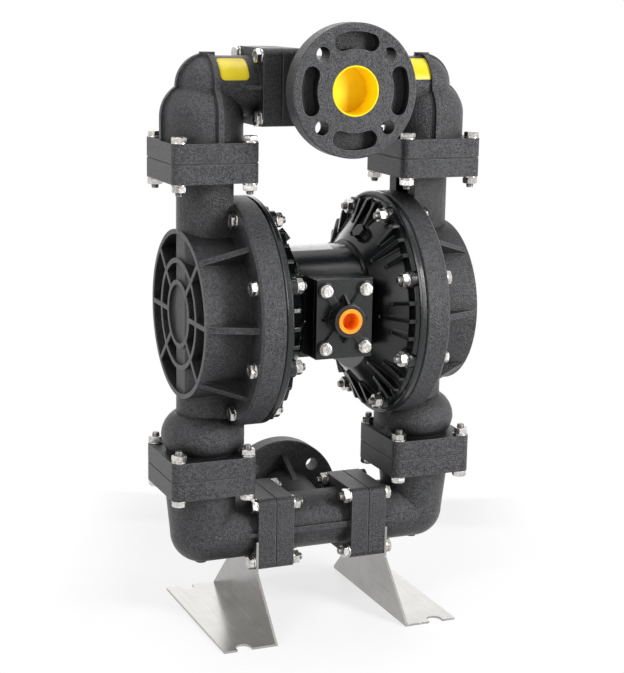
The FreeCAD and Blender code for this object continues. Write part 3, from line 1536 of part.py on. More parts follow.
def bolt(seat, length, direction, sizes=("thread_radius", "hex_across_flats",
                                         "bolt_head_height")):
    """A hexagon bolt: its head stands on the seat, its shank runs along the direction."""
    thread, flats, height = (size(name) for name in sizes)
    head = prism(around_flats(flats, 6), 6, seat, height, direction * -1)
    shank = prism(thread, SHANK_SIDES, seat, length, direction)
    return head.fuse(shank).removeSplitter()


def nut(seat, direction):
    """A hexagon nut that stands on the seat, on the side that the direction points to."""
    outside = prism(around_flats(size("hex_across_flats"), 6), 6, seat, size("nut_height"),
                    direction)
    return outside.cut(prism(size("thread_radius + thread_gap"), SHANK_SIDES, seat,
                             size("nut_height"), direction))


def bolted(head_seat, nut_seat):
    """A bolt and its nut, clamping what lies between two seats."""
    direction = (nut_seat - head_seat).normalize()
    length = (nut_seat - head_seat).Length + size("nut_height + bolt_tip")
    return bolt(head_seat, length, direction), nut(nut_seat, direction)


def keep_pairs(name, pairs):
    """Two sub-parts, one of all bolts and one of all nuts of a kind of joint."""
    for kind, solids in zip(("bolts", "nuts"), zip(*pairs)):
        label = f"{name}_{kind}"
        keep(shape_part(label, Part.makeCompound(list(solids))), label)


def make_chamber_fasteners():
    head = size("band_outer_x")
    end = size(NUT_SEAT)
    keep_pairs("chamber", [
        bolted(FreeCAD.Vector(side * head, y, z), FreeCAD.Vector(side * end, y, z))
        for side in (-1, 1) for y, z in chamber_bolt_places()
    ])


def make_column_fasteners():
    """Heads are on the elbows' side of each joint."""
    thick = size("column_flange_thick")
    pairs = []
    for joint, up in (("joint_top_z", 1), ("joint_bottom_z", -1)):
        level = size(joint)
        for side in (-1, 1):
            for x, y in column_bolt_places(side):
                head = FreeCAD.Vector(x, y, level + up * thick)
                pairs.append(bolted(head, FreeCAD.Vector(x, y, level - up * thick)))
    keep_pairs("column", pairs)


def make_manifold_fasteners():
    """Heads are on the elbows' side; the lowest ones also hold the feet."""
    thick = size("manifold_flange_thick")
    joint = size("manifold_joint_x")
    pairs = []
    for level in ("suction_z", "discharge_z"):
        for side in (-1, 1):
            for y, z in manifold_bolt_places(level):
                on_foot = z < size("suction_z")
                reach = joint + thick + (size("foot_thick") if on_foot else 0)
                head = FreeCAD.Vector(side * reach, y, z)
                pairs.append(bolted(head, FreeCAD.Vector(side * (joint - thick), y, z)))
    keep_pairs("manifold", pairs)


def make_inlet_screws():
    seat = -size("inlet_arm_y")
    sizes = ("screw_thread_radius", "screw_across_flats", "screw_head_height")
    screws = [
        bolt(FreeCAD.Vector(x, seat, z), size("inlet_screw_length"), Y_AXIS, sizes)
        for x, z in inlet_screw_places()
    ]
    keep(shape_part("inlet_screws", Part.makeCompound(screws)), "inlet_screws")


# ---------------------------------------------------------------------------------------------
# Shipping plugs
# ---------------------------------------------------------------------------------------------

def make_port_plug(label, axis_z, turn):
    """A cup pushed into the mouth of a port, open to the outside."""
    body = new_body(label + "_body", z=axis_z)
    face = "(-port_reach + plug_setback)"
    outer = "(port_mouth_radius - plug_gap)"
    turned(body, label + "_cup", "YZ_Plane", [[
        (face, f"{outer} - plug_wall"),
        (face, outer),
        (f"{face} + port_plug_depth", f"{outer} - 0.5"),
        (f"{face} + port_plug_depth", "0"),
        (f"{face} + port_plug_depth - plug_wall", "0"),
        (f"{face} + port_plug_depth - plug_wall", f"{outer} - plug_wall - 1"),
    ]])
    body.Placement = FreeCAD.Placement(body.Placement.Base, FreeCAD.Rotation(Z_AXIS, turn))
    keep(body, label)


def make_air_plug():
    body = new_body("air_plug_body", z=VALVE_BASE_Z)
    front = "(-inlet_boss_y - air_plug_lip_thick)"
    outer = "(inlet_bore_radius - plug_gap)"
    turned(body, "air_plug_cup", "YZ_Plane", [[
        (front, f"{outer} - plug_wall"),
        (front, f"{outer} + air_plug_lip"),
        ("-inlet_boss_y", f"{outer} + air_plug_lip"),
        ("-inlet_boss_y", outer),
        (f"{front} + air_plug_depth", f"{outer} - 0.5"),
        (f"{front} + air_plug_depth", "0"),
        (f"{front} + air_plug_depth - plug_wall", "0"),
        (f"{front} + air_plug_depth - plug_wall", f"{outer} - plug_wall - 0.5"),
    ]])
    keep(body, "air_plug")


# ---------------------------------------------------------------------------------------------
# The pump
# ---------------------------------------------------------------------------------------------

def make_pump():
    make_centre_block()
    make_block_gaskets()
    make_pilot_valve()
    make_valve_block()
    make_spool()
    make_inlet_gasket()
    make_inlet_plate()
    make_inlet_screws()
    make_muffler()
    make_inner_covers()
    make_service_plugs()
    make_outer_covers()
    make_diaphragms()
    make_plates()
    make_rod()
    make_rod_bearings()
    make_tee("discharge_tee", "discharge_z", 0)
    make_tee("suction_tee", "suction_z", 180)
    make_discharge_elbows()
    make_suction_elbows()
    make_manifold_seals()
    make_valves()
    make_feet()
    make_chamber_fasteners()
    make_column_fasteners()
    make_manifold_fasteners()
    make_port_plug("discharge_plug", "discharge_z", 0)
    make_port_plug("suction_plug", "suction_z", 180)
    make_air_plug()
    doc.recompute()


def check_pump():
    """Stops with a message when a feature failed or a sub-part has no good shape."""
    for obj in doc.Objects:
        if "Invalid" in obj.State or "Error" in obj.State:
            raise RuntimeError(f"{obj.Name} failed: {obj.State}")
    for obj in sub_parts:
        if obj.Shape.isNull() or not obj.Shape.isValid():
            raise RuntimeError(f"{obj.Label} has no valid shape")
        if not obj.Shape.Solids:
            raise RuntimeError(f"{obj.Label} holds no solid")


def write_parts():
    os.makedirs("parts", exist_ok=True)
    for obj in sub_parts:
        obj.Shape.exportStep(f"parts/{obj.Label}.step")


fill_sheet()
make_pump()
check_pump()
write_parts()
print(len(sub_parts), "sub-parts written")
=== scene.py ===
import json
import math
import random

import bmesh
import bpy
from mathutils import Matrix, Vector


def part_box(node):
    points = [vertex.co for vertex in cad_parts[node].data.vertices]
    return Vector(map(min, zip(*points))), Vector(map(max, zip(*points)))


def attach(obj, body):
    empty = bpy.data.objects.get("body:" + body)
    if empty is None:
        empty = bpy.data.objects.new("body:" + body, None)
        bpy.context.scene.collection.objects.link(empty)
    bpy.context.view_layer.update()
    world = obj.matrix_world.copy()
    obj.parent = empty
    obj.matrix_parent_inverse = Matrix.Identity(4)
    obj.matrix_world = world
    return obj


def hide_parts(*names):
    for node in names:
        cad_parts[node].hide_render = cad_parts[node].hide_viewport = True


# Air operated double diaphragm pump.  Metres, +Z up, the front is -Y.

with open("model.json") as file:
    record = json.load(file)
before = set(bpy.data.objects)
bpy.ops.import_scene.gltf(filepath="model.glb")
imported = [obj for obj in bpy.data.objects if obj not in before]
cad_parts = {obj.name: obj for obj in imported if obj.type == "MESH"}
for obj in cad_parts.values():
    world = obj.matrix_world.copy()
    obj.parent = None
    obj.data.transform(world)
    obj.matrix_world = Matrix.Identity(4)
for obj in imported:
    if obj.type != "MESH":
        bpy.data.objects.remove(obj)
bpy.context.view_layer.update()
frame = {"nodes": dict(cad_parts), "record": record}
nodes = frame["nodes"]
record = frame["record"]

MM = 0.001
X, Y, Z = range(3)
WHITE = (1.0, 1.0, 1.0, 1.0)


# ---------------------------------------------------------------------------------------------
# Node trees
# ---------------------------------------------------------------------------------------------

class Graph:
    """A node tree, with short calls for the nodes that the materials and the world share."""

    def __init__(self, tree):
        self.nodes = tree.nodes
        self.links = tree.links
        self.nodes.clear()

    def add(self, kind, **values):
        node = self.nodes.new(kind)
        for key, value in values.items():
            setattr(node, key, value)
        return node

    def link(self, source, node, name):
        self.links.new(source, node.inputs[name])

    def feed(self, socket, value):
        """Sets a socket to a number or a colour, or links an output to it."""
        if isinstance(value, (int, float, tuple)):
            socket.default_value = value
        else:
            self.links.new(value, socket)

    def math(self, kind, first, second):
        node = self.add("ShaderNodeMath", operation=kind)
        self.feed(node.inputs[0], first)
        self.feed(node.inputs[1], second)
        return node.outputs["Value"]

    def weighted(self, *parts):
        """The sum of (output, share) pairs, each output times its share."""
        terms = [self.math("MULTIPLY", source, share) for source, share in parts]
        total = terms[0]
        for term in terms[1:]:
            total = self.math("ADD", total, term)
        return total

    def light(self, kind, colour, strength):
        """A shader that gives light of its own: an emission, or a world's background."""
        node = self.add(kind)
        self.feed(node.inputs["Color"], colour)
        self.feed(node.inputs["Strength"], strength)
        return node.outputs[0]

    def mix_shaders(self, share, first, second):
        node = self.add("ShaderNodeMixShader")
        self.feed(node.inputs["Fac"], share)
        self.links.new(first, node.inputs[1])
        self.links.new(second, node.inputs[2])
        return node.outputs["Shader"]


class Surface(Graph):
    """A material: its node tree, round one Principled shader."""

    def __init__(self, name):
        self.material = bpy.data.materials.new(name)
        self.material.use_nodes = True
        super().__init__(self.material.node_tree)
        self.shader = self.add("ShaderNodeBsdfPrincipled")
        self.out = self.add("ShaderNodeOutputMaterial")
        self.link(self.shader.outputs["BSDF"], self.out, "Surface")
        self.place = self.add("ShaderNodeTexCoord").outputs["Object"]

    def set(self, name, value):
        self.shader.inputs[name].default_value = value

    def stretched(self, scale):
        """The place in the object, scaled by a factor for each axis."""
        node = self.add("ShaderNodeMapping")
        node.inputs["Scale"].default_value = scale
        self.link(self.place, node, "Vector")
        return node.outputs["Vector"]

    def along(self, direction):
        """How far the place in the object lies along a direction."""
        node = self.add("ShaderNodeVectorMath", operation="DOT_PRODUCT")
        self.links.new(self.place, node.inputs[0])
        node.inputs[1].default_value = direction
        return node.outputs["Value"]

    def noise(self, scale, detail, rough, vector=None):
        node = self.add("ShaderNodeTexNoise")
        node.inputs["Scale"].default_value = scale
        node.inputs["Detail"].default_value = detail
        node.inputs["Roughness"].default_value = rough
        self.link(vector or self.place, node, "Vector")
        return node.outputs["Fac"]

    def ramp(self, source, stops):
        """A colour ramp; stops are (position, colour) with three numbers or one grey."""
        node = self.add("ShaderNodeValToRGB")
        while len(node.color_ramp.elements) < len(stops):
            node.color_ramp.elements.new(0.5)
        for element, (position, colour) in zip(node.color_ramp.elements, stops):
            element.position = position
            if isinstance(colour, (int, float)):
                colour = (colour,) * 3
            element.color = (*colour, 1.0)
        self.link(source, node, "Fac")
        return node.outputs["Color"]

    def spread(self, source, low, high, start=0.3, end=0.7):
        """Maps start to low and end to high; a noise lies mostly between 0.3 and 0.7."""
        node = self.add("ShaderNodeMapRange")
        node.inputs["From Min"].default_value = start
        node.inputs["From Max"].default_value = end
        node.inputs["To Min"].default_value = low
        node.inputs["To Max"].default_value = high
        self.link(source, node, "Value")
        return node.outputs["Result"]

    def rounded(self, radius, samples=4):
        """Normals that turn softly over every edge."""
        node = self.add("ShaderNodeBevel", samples=samples)
        node.inputs["Radius"].default_value = radius
        return node.outputs["Normal"]

    def edge_mask(self, soft):
        """Near 1 where the softened normal leaves the true one, so on edges only."""
        node = self.add("ShaderNodeVectorMath", operation="DOT_PRODUCT")
        self.links.new(soft, node.inputs[0])
        self.links.new(self.add("ShaderNodeNewGeometry").outputs["Normal"], node.inputs[1])
        return self.spread(node.outputs["Value"], 1.0, 0.0, start=0.8, end=0.985)

    def painted_recess_shade(self, reach):
        """Painted shade: near 1 where other faces close a place in within a reach, 0 on open
        faces.
        """
        node = self.add("ShaderNodeAmbientOcclusion", samples=4)
        node.inputs["Distance"].default_value = reach
        return self.spread(node.outputs["AO"], 1.0, 0.0, start=0.4, end=0.97)

    def towards_grey(self, colour, share, grey):
        """Turns a share of a colour into a grey."""
        node = self.add("ShaderNodeMix", data_type="RGBA")
        node.inputs["B"].default_value = (grey, grey, grey, 1.0)
        self.link(share, node, "Factor")
        self.links.new(colour, node.inputs[6])
        return node.outputs[2]

    def bump(self, height, depth, normal):
        """Normals with the ups and downs of a height, which is up to depth metres deep."""
        node = self.add("ShaderNodeBump")
        node.inputs["Strength"].default_value = 1.0
        node.inputs["Distance"].default_value = depth
        self.link(height, node, "Height")
        self.link(normal, node, "Normal")
        return node.outputs["Normal"]

    def finish(self, colour, rough, normal):
        self.link(colour, self.shader, "Base Color")
        self.link(rough, self.shader, "Roughness")
        self.link(normal, self.shader, "Normal")


# ---------------------------------------------------------------------------------------------
# Materials
# ---------------------------------------------------------------------------------------------

# Edges turn to a paler grey: partly wear, partly a painted highlight.  Places that other faces
# close in turn to a near black: painted shade.
EDGE_WEAR_AND_HIGHLIGHT_GREY = 0.24
PAINTED_SHADE_GREY = 0.001
PAINTED_SHADE_SHARE = 0.9
PAINTED_SHADE_REACH = 60.0 * MM

MATERIALS = {}


def plastic(name, dark, light, rough, grain, depth, edge=1.2 * MM, specular=0.5, edge_wear_and_highlight=0.5):
    """Moulded black plastic: fine grain, broad soft changes of tone, paler edges that are part
    wear and part painted highlight, and painted shade where other faces close in.
    """
    t = Surface(name)
    broad = t.noise(14.0, detail=3.0, rough=0.6)
    coarse = t.noise(grain * 0.4, detail=1.0, rough=0.5)
    fine = t.noise(grain, detail=2.0, rough=0.6)
    tone = t.weighted((broad, 0.12), (coarse, 0.20), (fine, 0.68))
    colour = t.ramp(tone, [(0.43, dark), (0.58, light)])
    roughness = t.spread(t.weighted((broad, 0.5), (fine, 0.5)), *rough)
    soft = t.rounded(edge, samples=6)
    # Paler edges: partly wear, partly a painted highlight.
    edges = t.math("MULTIPLY", t.edge_mask(soft), edge_wear_and_highlight)
    colour = t.towards_grey(colour, edges, EDGE_WEAR_AND_HIGHLIGHT_GREY)
    # Painted shade: near black where other faces close a place in.
    painted_shade = t.math("MULTIPLY", t.painted_recess_shade(PAINTED_SHADE_REACH), PAINTED_SHADE_SHARE)
    colour = t.towards_grey(colour, painted_shade, PAINTED_SHADE_GREY)
    t.set("Specular IOR Level", specular)
    t.finish(colour, roughness, t.bump(fine, depth, soft))
    MATERIALS[name] = t.material


def steel(name, dark, light, rough, stretch, depth):
    """Steel with fine lines along the axis whose stretch factor is small.

    Where the three factors are alike, it has an even grain.
    """
    t = Surface(name)
    lines = t.noise(1.0, detail=4.0, rough=0.6, vector=t.stretched(stretch))
    stains = t.noise(25.0, detail=3.0, rough=0.6)
    tone = t.weighted((lines, 0.6), (stains, 0.4))
    colour = t.ramp(tone, [(0.35, dark), (0.65, light)])
    t.set("Metallic", 1.0)
    t.finish(colour, t.spread(tone, *rough), t.bump(lines, depth, t.rounded(0.4 * MM)))
    MATERIALS[name] = t.material


def soft_plastic(name, dark, light, rough, specular=0.5):
    """Smooth moulded plastic in a plain colour, a little uneven."""
    t = Surface(name)
    broad = t.noise(60.0, detail=3.0, rough=0.6)
    fine = t.noise(1800.0, detail=2.0, rough=0.5)
    colour = t.ramp(broad, [(0.35, dark), (0.65, light)])
    t.set("Specular IOR Level", specular)
    t.finish(colour, t.spread(fine, *rough), t.bump(fine, 0.03 * MM, t.rounded(0.8 * MM)))
    MATERIALS[name] = t.material


def make_black_plastics():
    """The black mouldings, from the coarse outer ones to the smooth inner ones, and rubber."""
    plastic("moulded_black_plastic", dark=(0.003, 0.003, 0.004), light=(0.064, 0.065, 0.070),
            rough=(0.27, 0.47), grain=620.0, depth=1.4 * MM, edge=1.5 * MM, specular=0.4, edge_wear_and_highlight=0.6)
    plastic("smooth_black_plastic", dark=(0.002, 0.003, 0.003), light=(0.014, 0.015, 0.017),
            rough=(0.15, 0.27), grain=600.0, depth=0.08 * MM, edge=1.4 * MM, edge_wear_and_highlight=0.12)
    plastic("plate_plastic", dark=(0.010, 0.010, 0.011), light=(0.022, 0.022, 0.024),
            rough=(0.4, 0.55), grain=900.0, depth=0.1 * MM)
    plastic("black_rubber", dark=(0.010, 0.010, 0.010), light=(0.022, 0.022, 0.022),
            rough=(0.6, 0.8), grain=700.0, depth=0.1 * MM)
    plastic("ball_rubber", dark=(0.014, 0.014, 0.014), light=(0.03, 0.03, 0.03),
            rough=(0.5, 0.7), grain=500.0, depth=0.1 * MM)


def make_steels():
    """The fasteners and their dull threads, the brushed feet, and the turned inner parts."""
    steel("stainless_fasteners", dark=(0.34, 0.33, 0.32), light=(0.78, 0.76, 0.73),
          rough=(0.14, 0.34), stretch=(380.0, 380.0, 380.0), depth=0.05 * MM)
    steel("dark_threads", dark=(0.16, 0.155, 0.15), light=(0.34, 0.33, 0.32),
          rough=(0.3, 0.45), stretch=(900.0, 900.0, 900.0), depth=0.03 * MM)
    steel("brushed_stainless", dark=(0.33, 0.32, 0.31), light=(0.44, 0.43, 0.415),
          rough=(0.20, 0.28), stretch=(1500.0, 12.0, 1500.0), depth=0.006 * MM)
    steel("machined_steel", dark=(0.45, 0.45, 0.45), light=(0.65, 0.65, 0.65),
          rough=(0.2, 0.34), stretch=(20.0, 900.0, 900.0), depth=0.02 * MM)


def make_soft_plastics():
    """The shipping plugs, the patches and the plate stuck on, and the pale inner parts."""
    soft_plastic("yellow_plug", dark=(0.96, 0.67, 0.003), light=(0.99, 0.73, 0.005),
                 rough=(0.40, 0.5), specular=0.2)
    soft_plastic("orange_plug", dark=(0.93, 0.25, 0.006), light=(0.97, 0.32, 0.010),
                 rough=(0.34, 0.48), specular=0.3)
    soft_plastic("yellow_vinyl", dark=(0.78, 0.60, 0.004), light=(0.86, 0.68, 0.008),
                 rough=(0.28, 0.36))
    soft_plastic("silver_foil", dark=(0.72, 0.71, 0.70), light=(0.84, 0.83, 0.82),
                 rough=(0.22, 0.3))
    soft_plastic("white_plastic", dark=(0.70, 0.70, 0.68), light=(0.82, 0.82, 0.80),
                 rough=(0.35, 0.5))
    soft_plastic("valve_plastic", dark=(0.60, 0.58, 0.53), light=(0.70, 0.68, 0.63),
                 rough=(0.4, 0.55))


def dress_nodes():
    """Gives every CAD node the material of its slot."""
    slots = {part["node"]: part["material_slot"] for part in record["subparts"]}
    for name, node in nodes.items():
        material = MATERIALS[slots[name]]
        if not node.material_slots:
            node.data.materials.append(material)
        for slot in node.material_slots:
            slot.material = material


# ---------------------------------------------------------------------------------------------
# Meshes
# ---------------------------------------------------------------------------------------------

SHARP_ANGLE = math.radians(35)


def new_piece(name, mesh, material, body, replaced=()):
    """A finished piece: its mesh with a material, riding on a body."""
    piece = bpy.data.objects.new(name, mesh)
    bpy.context.scene.collection.objects.link(piece)
    mesh.materials.append(MATERIALS[material])
    mesh.shade_smooth()
    mesh.set_sharp_from_angle(angle=SHARP_ANGLE)
    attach(piece, body)
    if replaced:
        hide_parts(*replaced)


def solids_of(node):
    """The separate solids of a CAD node: a list of point lists."""
    mesh = nodes[node].data
    keys = {}
    spots = [keys.setdefault(tuple(round(c, 6) for c in v.co), len(keys)) for v in mesh.vertices]
    parents = list(range(len(keys)))

    def root(i):
        while parents[i] != i:
            parents[i] = parents[parents[i]]
            i = parents[i]
        return i

    for edge in mesh.edges:
        parents[root(spots[edge.vertices[0]])] = root(spots[edge.vertices[1]])
    groups = {}
    for key, index in keys.items():
        groups.setdefault(root(index), []).append(Vector(key))
    return [groups[k] for k in sorted(groups)]


def join_rings(bm, loops):
    """Faces between each ring of points and the next."""
    for lower, upper in zip(loops, loops[1:]):
        for i in range(len(lower)):
            j = (i + 1) % len(lower)
            bm.faces.new((lower[i], lower[j], upper[j], upper[i]))


def lathe(bm, rings, place, segments):
    """Closes a stack of rings into a skin.

    A ring is (radius, height); either may be a function of the angle.  The first and the last
    ring are capped.
    """
    loops = []
    for radius, height in rings:
        loop = []
        for i in range(segments):
            angle = 2 * math.pi * i / segments
            r = radius(angle) if callable(radius) else radius
            z = height(angle) if callable(height) else height
            spot = Vector((r * math.cos(angle), r * math.sin(angle), z))
            loop.append(bm.verts.new(place @ spot))
        loops.append(loop)
    join_rings(bm, loops)
    bm.faces.new(list(reversed(loops[0])))
    bm.faces.new(loops[-1])


def mesh_from(bm, name):
    mesh = bpy.data.meshes.new(name)
    bmesh.ops.recalc_face_normals(bm, faces=bm.faces)
    bm.to_mesh(mesh)
    bm.free()
    return mesh


# ---------------------------------------------------------------------------------------------
# Fasteners: heads, washers, nuts and threaded tips stand in for the plain CAD ones
# ---------------------------------------------------------------------------------------------

HEX_SEGMENTS = 36
WASHER_SEGMENTS = 40
THREAD_SEGMENTS = 24
SHANK_SEGMENTS = 16

HEX_TURN = math.radians(60)
HEX_CHAMFER = math.radians(30)

# The radius of a head's or nut's flat round end, as a share of the hexagon's inner radius.
CROWN = 0.95

# How far a threaded end stands out of its nut, and how deep its thread is cut.
TIP = 5.0 * MM
THREAD_DEPTH = 0.6 * MM
# The end's plain stretch, its chamfer, and how far the chamfer goes in from the crest.
PLAIN_END = 0.8 * MM
END_CHAMFER = 0.5 * MM
END_INSET = 1.1 * MM
# Along one pitch: the ridge's foot, the two sides of its crest, and its other foot.
RIDGE = (0.12, 0.45, 0.58, 0.9)


class Screw:
    """A hexagon screw's sizes, given in millimetres; its thread is given by the radius."""

    def __init__(self, thread, flats, head, washer, washer_radius, pitch=0.0, nut=0.0):
        self.thread = thread * MM
        self.flats = flats * MM
        self.head = head * MM
        self.washer = washer * MM
        self.washer_radius = washer_radius * MM
        self.pitch = pitch * MM
        self.nut = nut * MM
        self.crown = self.flats / 2 * CROWN

    def side(self, angle):
        """How far the hexagon reaches in a direction."""
        return self.flats / 2 / math.cos((angle + HEX_TURN / 2) % HEX_TURN - HEX_TURN / 2)

    def fall(self, angle):
        """How far the chamfer falls from the round crown to the hexagon's side."""
        return (self.side(angle) - self.crown) * math.tan(HEX_CHAMFER)


JOINT_SCREW = Screw(thread=5.0, flats=17.0, head=6.4, washer=2.0, washer_radius=9.9,
                    pitch=1.5, nut=8.0)
INLET_SCREW = Screw(thread=4.0, flats=13.0, head=5.3, washer=1.5, washer_radius=8.3)


def frame_at(point, direction, spin=0.0):
    """A frame at a point whose Z lies along a direction."""
    turn = direction.to_track_quat("Z", "Y").to_matrix().to_4x4()
    return Matrix.Translation(point) @ turn @ Matrix.Rotation(spin, 4, "Z")


def add_washer(bm, place, screw):
    """A washer with both rims rounded off; returns the place on top of it."""
    r, high, rim = screw.washer_radius, screw.washer, 0.25 * MM
    lathe(bm, [(r - rim, 0.0), (r, rim), (r, high - rim), (r - rim, high)], place, WASHER_SEGMENTS)
    return place @ Matrix.Translation((0, 0, high))


def add_head(bm, place, screw):
    """A hexagon head with a chamfered top and a shallow dish in it."""
    top = screw.crown
    high = screw.head
    dish = 0.3 * MM
    foot_inset, foot_low, foot_high = 0.1 * MM, 0.15 * MM, 0.4 * MM
    lathe(bm, [
        (top, 0.0),
        (lambda a: screw.side(a) - foot_inset, foot_low),
        (screw.side, foot_high),
        (screw.side, lambda a: high - screw.fall(a)),
        (top, high),
        (top * 0.8, high),
        (top * 0.74, high - dish),
    ], place, HEX_SEGMENTS)


def add_nut(bm, place, screw):
    """A hexagon nut with both ends chamfered and a countersunk thread."""
    top = screw.crown
    high = screw.nut
    sink, sink_rim, sink_gap = 0.7 * MM, 0.8 * MM, 0.05 * MM
    lathe(bm, [
        (top, 0.0),
        (screw.side, screw.fall),
        (screw.side, lambda a: high - screw.fall(a)),
        (top, high),
        (screw.thread + sink_rim, high),
        (screw.thread + sink_gap, high - sink),
    ], place, HEX_SEGMENTS)


def add_thread(bm, place, length, screw):
    """A threaded end: ridges round a core, and a chamfer at the tip."""
    crest = screw.thread
    core = crest - THREAD_DEPTH
    pitch = screw.pitch
    rings = [(core, 0.0)]
    for i in range(int((length - PLAIN_END) / pitch)):
        for radius, share in zip((core, crest, crest, core), RIDGE):
            rings.append((radius, i * pitch + share * pitch))
    rings += [(core, length - END_CHAMFER), (crest - END_INSET, length)]
    lathe(bm, rings, place, THREAD_SEGMENTS)


def bolt_places(node, axis, screw):
    """(seat of the head, direction of the shank, end of the shank) of each bolt of a node."""
    widest_shank = screw.thread + 1.0 * MM
    found = []
    for points in solids_of(node):
        spans = [(min(values), max(values)) for values in zip(*points)]
        low, high = spans[axis]
        middle = [(first + last) / 2 for first, last in spans]
        centre = Vector(middle)
        head = []
        for point in points:
            aside = point - centre
            aside[axis] = 0.0
            if aside.length > widest_shank:
                head.append(point[axis])
        head_is_high = (min(head) + max(head)) / 2 > middle[axis]
        seat = list(middle)
        seat[axis] = min(head) if head_is_high else max(head)
        end = list(middle)
        end[axis] = low if head_is_high else high
        way = Vector((0.0, 0.0, 0.0))
        way[axis] = -1.0 if head_is_high else 1.0
        found.append((Vector(seat), way, Vector(end)))
    return found


def add_bolt(bm, seat, way, length, screw, spin):
    """A washer on a seat, a head on the washer, and a plain shank that goes the other way."""
    add_head(bm, add_washer(bm, frame_at(seat, -way, spin), screw), screw)
    lathe(bm, [(screw.thread, 0.0), (screw.thread, length)], frame_at(seat, way), SHANK_SEGMENTS)


def replace_node(name, bm):
    """A steel piece in place of a CAD node, named after it."""
    new_piece(name + "_detail", mesh_from(bm, name), "stainless_fasteners", "pump", (name,))


def make_fasteners(kind, axis):
    """Bolts with washers and nuts in place of the two CAD nodes of one kind of joint."""
    screw = JOINT_SCREW
    rng = random.Random(kind)
    bolts, nuts, ends = bmesh.new(), bmesh.new(), bmesh.new()
    threaded = screw.washer + screw.nut + TIP
    for seat, way, end in bolt_places(kind + "_bolts", axis, screw):
        nut_seat = end - way * threaded
        add_bolt(bolts, seat, way, (nut_seat - seat).length, screw, rng.uniform(0, HEX_TURN))
        nut = frame_at(nut_seat, way, rng.uniform(0, HEX_TURN))
        add_nut(nuts, add_washer(nuts, nut, screw), screw)
        add_thread(ends, nut, threaded, screw)
    replace_node(kind + "_bolts", bolts)
    new_piece(kind + "_bolt_threads", mesh_from(ends, kind + "_threads"), "dark_threads", "pump")
    replace_node(kind + "_nuts", nuts)


def make_inlet_screws():
    """The four screws of the air inlet's plate, which go into the block without nuts."""
    screw = INLET_SCREW
    rng = random.Random("inlet")
    screws = bmesh.new()
    for seat, way, end in bolt_places("inlet_screws", Y, screw):
        add_bolt(screws, seat, way, (end - seat).length, screw, rng.uniform(0, HEX_TURN))
    replace_node("inlet_screws", screws)


# ---------------------------------------------------------------------------------------------
# Thin plates stuck on round surfaces
# ---------------------------------------------------------------------------------------------

CORNER_STEPS = 6
SIDE_STEPS = 14

PLATE_THICK = 0.35 * MM
# A plate starts this far under its surface, so that no gap shows.
PLATE_SINK = 0.2 * MM

# A patch: its x on each elbow, how far it leans from the top to the front, and its sizes.
PATCH_X = {"left": -0.125, "right": 0.132}
PATCH_LEAN = math.radians(50)
PATCH_SIZE = (38 * MM, 35 * MM)
PATCH_CORNER = 6 * MM
ELBOW_RADIUS = 38 * MM

# The blank plate on the barrel between the covers has the same.
BLANK_X = -0.012
BLANK_LEAN = math.radians(-2)
BLANK_SIZE = (62 * MM, 50 * MM)
BLANK_CORNER = 3 * MM
BARREL_RADIUS = 81 * MM


def rounded_outline(width, height, corner):
    """Points round a rectangle with round corners, about its middle."""
    arcs = []
    for quarter, (sx, sy) in enumerate(((1, 1), (-1, 1), (-1, -1), (1, -1))):
        middle = Vector((sx * (width / 2 - corner), sy * (height / 2 - corner)))
        arc = []
        for i in range(CORNER_STEPS + 1):
            angle = math.radians(90) * (quarter + i / CORNER_STEPS)
            arc.append(middle + corner * Vector((math.cos(angle), math.sin(angle))))
        arcs.append(arc)
    points = []
    for arc, following in zip(arcs, arcs[1:] + arcs[:1]):
        points += arc
        points += [arc[-1].lerp(following[0], i / SIDE_STEPS) for i in range(1, SIDE_STEPS)]
    return points


def wrapped_plate(name, material, level, radius, x_middle, lean, size, corner):
    """A thin plate wrapped on a level cylinder along X, whose axis is at y = 0.

    Its middle is at x_middle, and leans from the cylinder's top towards the front.
    """
    bm = bmesh.new()
    outline = rounded_outline(*size, corner)

    def on_cylinder(x, y, lift):
        angle = lean - y / radius
        r = radius + lift
        return bm.verts.new((x_middle + x, -r * math.sin(angle), level + r * math.cos(angle)))

    sides = [(1.0, -PLATE_SINK), (1.0, PLATE_THICK * 0.7)]
    face = [(share, PLATE_THICK) for share in (0.985, 0.8, 0.6, 0.4, 0.2)]
    loops = [[on_cylinder(x * share, y * share, lift) for x, y in outline]
             for share, lift in sides + face]
    join_rings(bm, loops)
    middle = on_cylinder(0.0, 0.0, PLATE_THICK)
    inner = loops[-1]
    for first, second in zip(inner, inner[1:] + inner[:1]):
        bm.faces.new((first, second, middle))
    new_piece(name, mesh_from(bm, name), material, "pump")


def level_of(node):
    """The height of a node's middle."""
    low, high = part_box(node)
    return (low[Z] + high[Z]) / 2


def make_plates():
    """A plain yellow patch on each discharge elbow, and a blank plate on the centre block."""
    for side, x in PATCH_X.items():
        wrapped_plate(side + "_yellow_patch", "yellow_vinyl", level_of("discharge_plug"),
                      ELBOW_RADIUS, x, PATCH_LEAN, PATCH_SIZE, PATCH_CORNER)
    wrapped_plate("blank_plate", "silver_foil", level_of("left_inner_cover"),
                  BARREL_RADIUS, BLANK_X, BLANK_LEAN, BLANK_SIZE, BLANK_CORNER)


# ---------------------------------------------------------------------------------------------
# Stage, light and camera
# ---------------------------------------------------------------------------------------------

CAMERA_PLACE = (-0.8154, -1.9109, 0.8218)
CAMERA_YAW = math.radians(-23.10)
CAMERA_PITCH = math.radians(-12.06)
CAMERA_ROLL = math.radians(1.00)
CAMERA_LENS = 85.41

# The sheet on the floor, along the camera's way and across it: where its tones begin, where it
# ends, and over what stretch it turns white.
SHEET_START = -0.25
SHEET_END = 0.47
SHEET_END_FADE = 0.03
SHEET_SIDE_FADE = (0.24, 0.36)
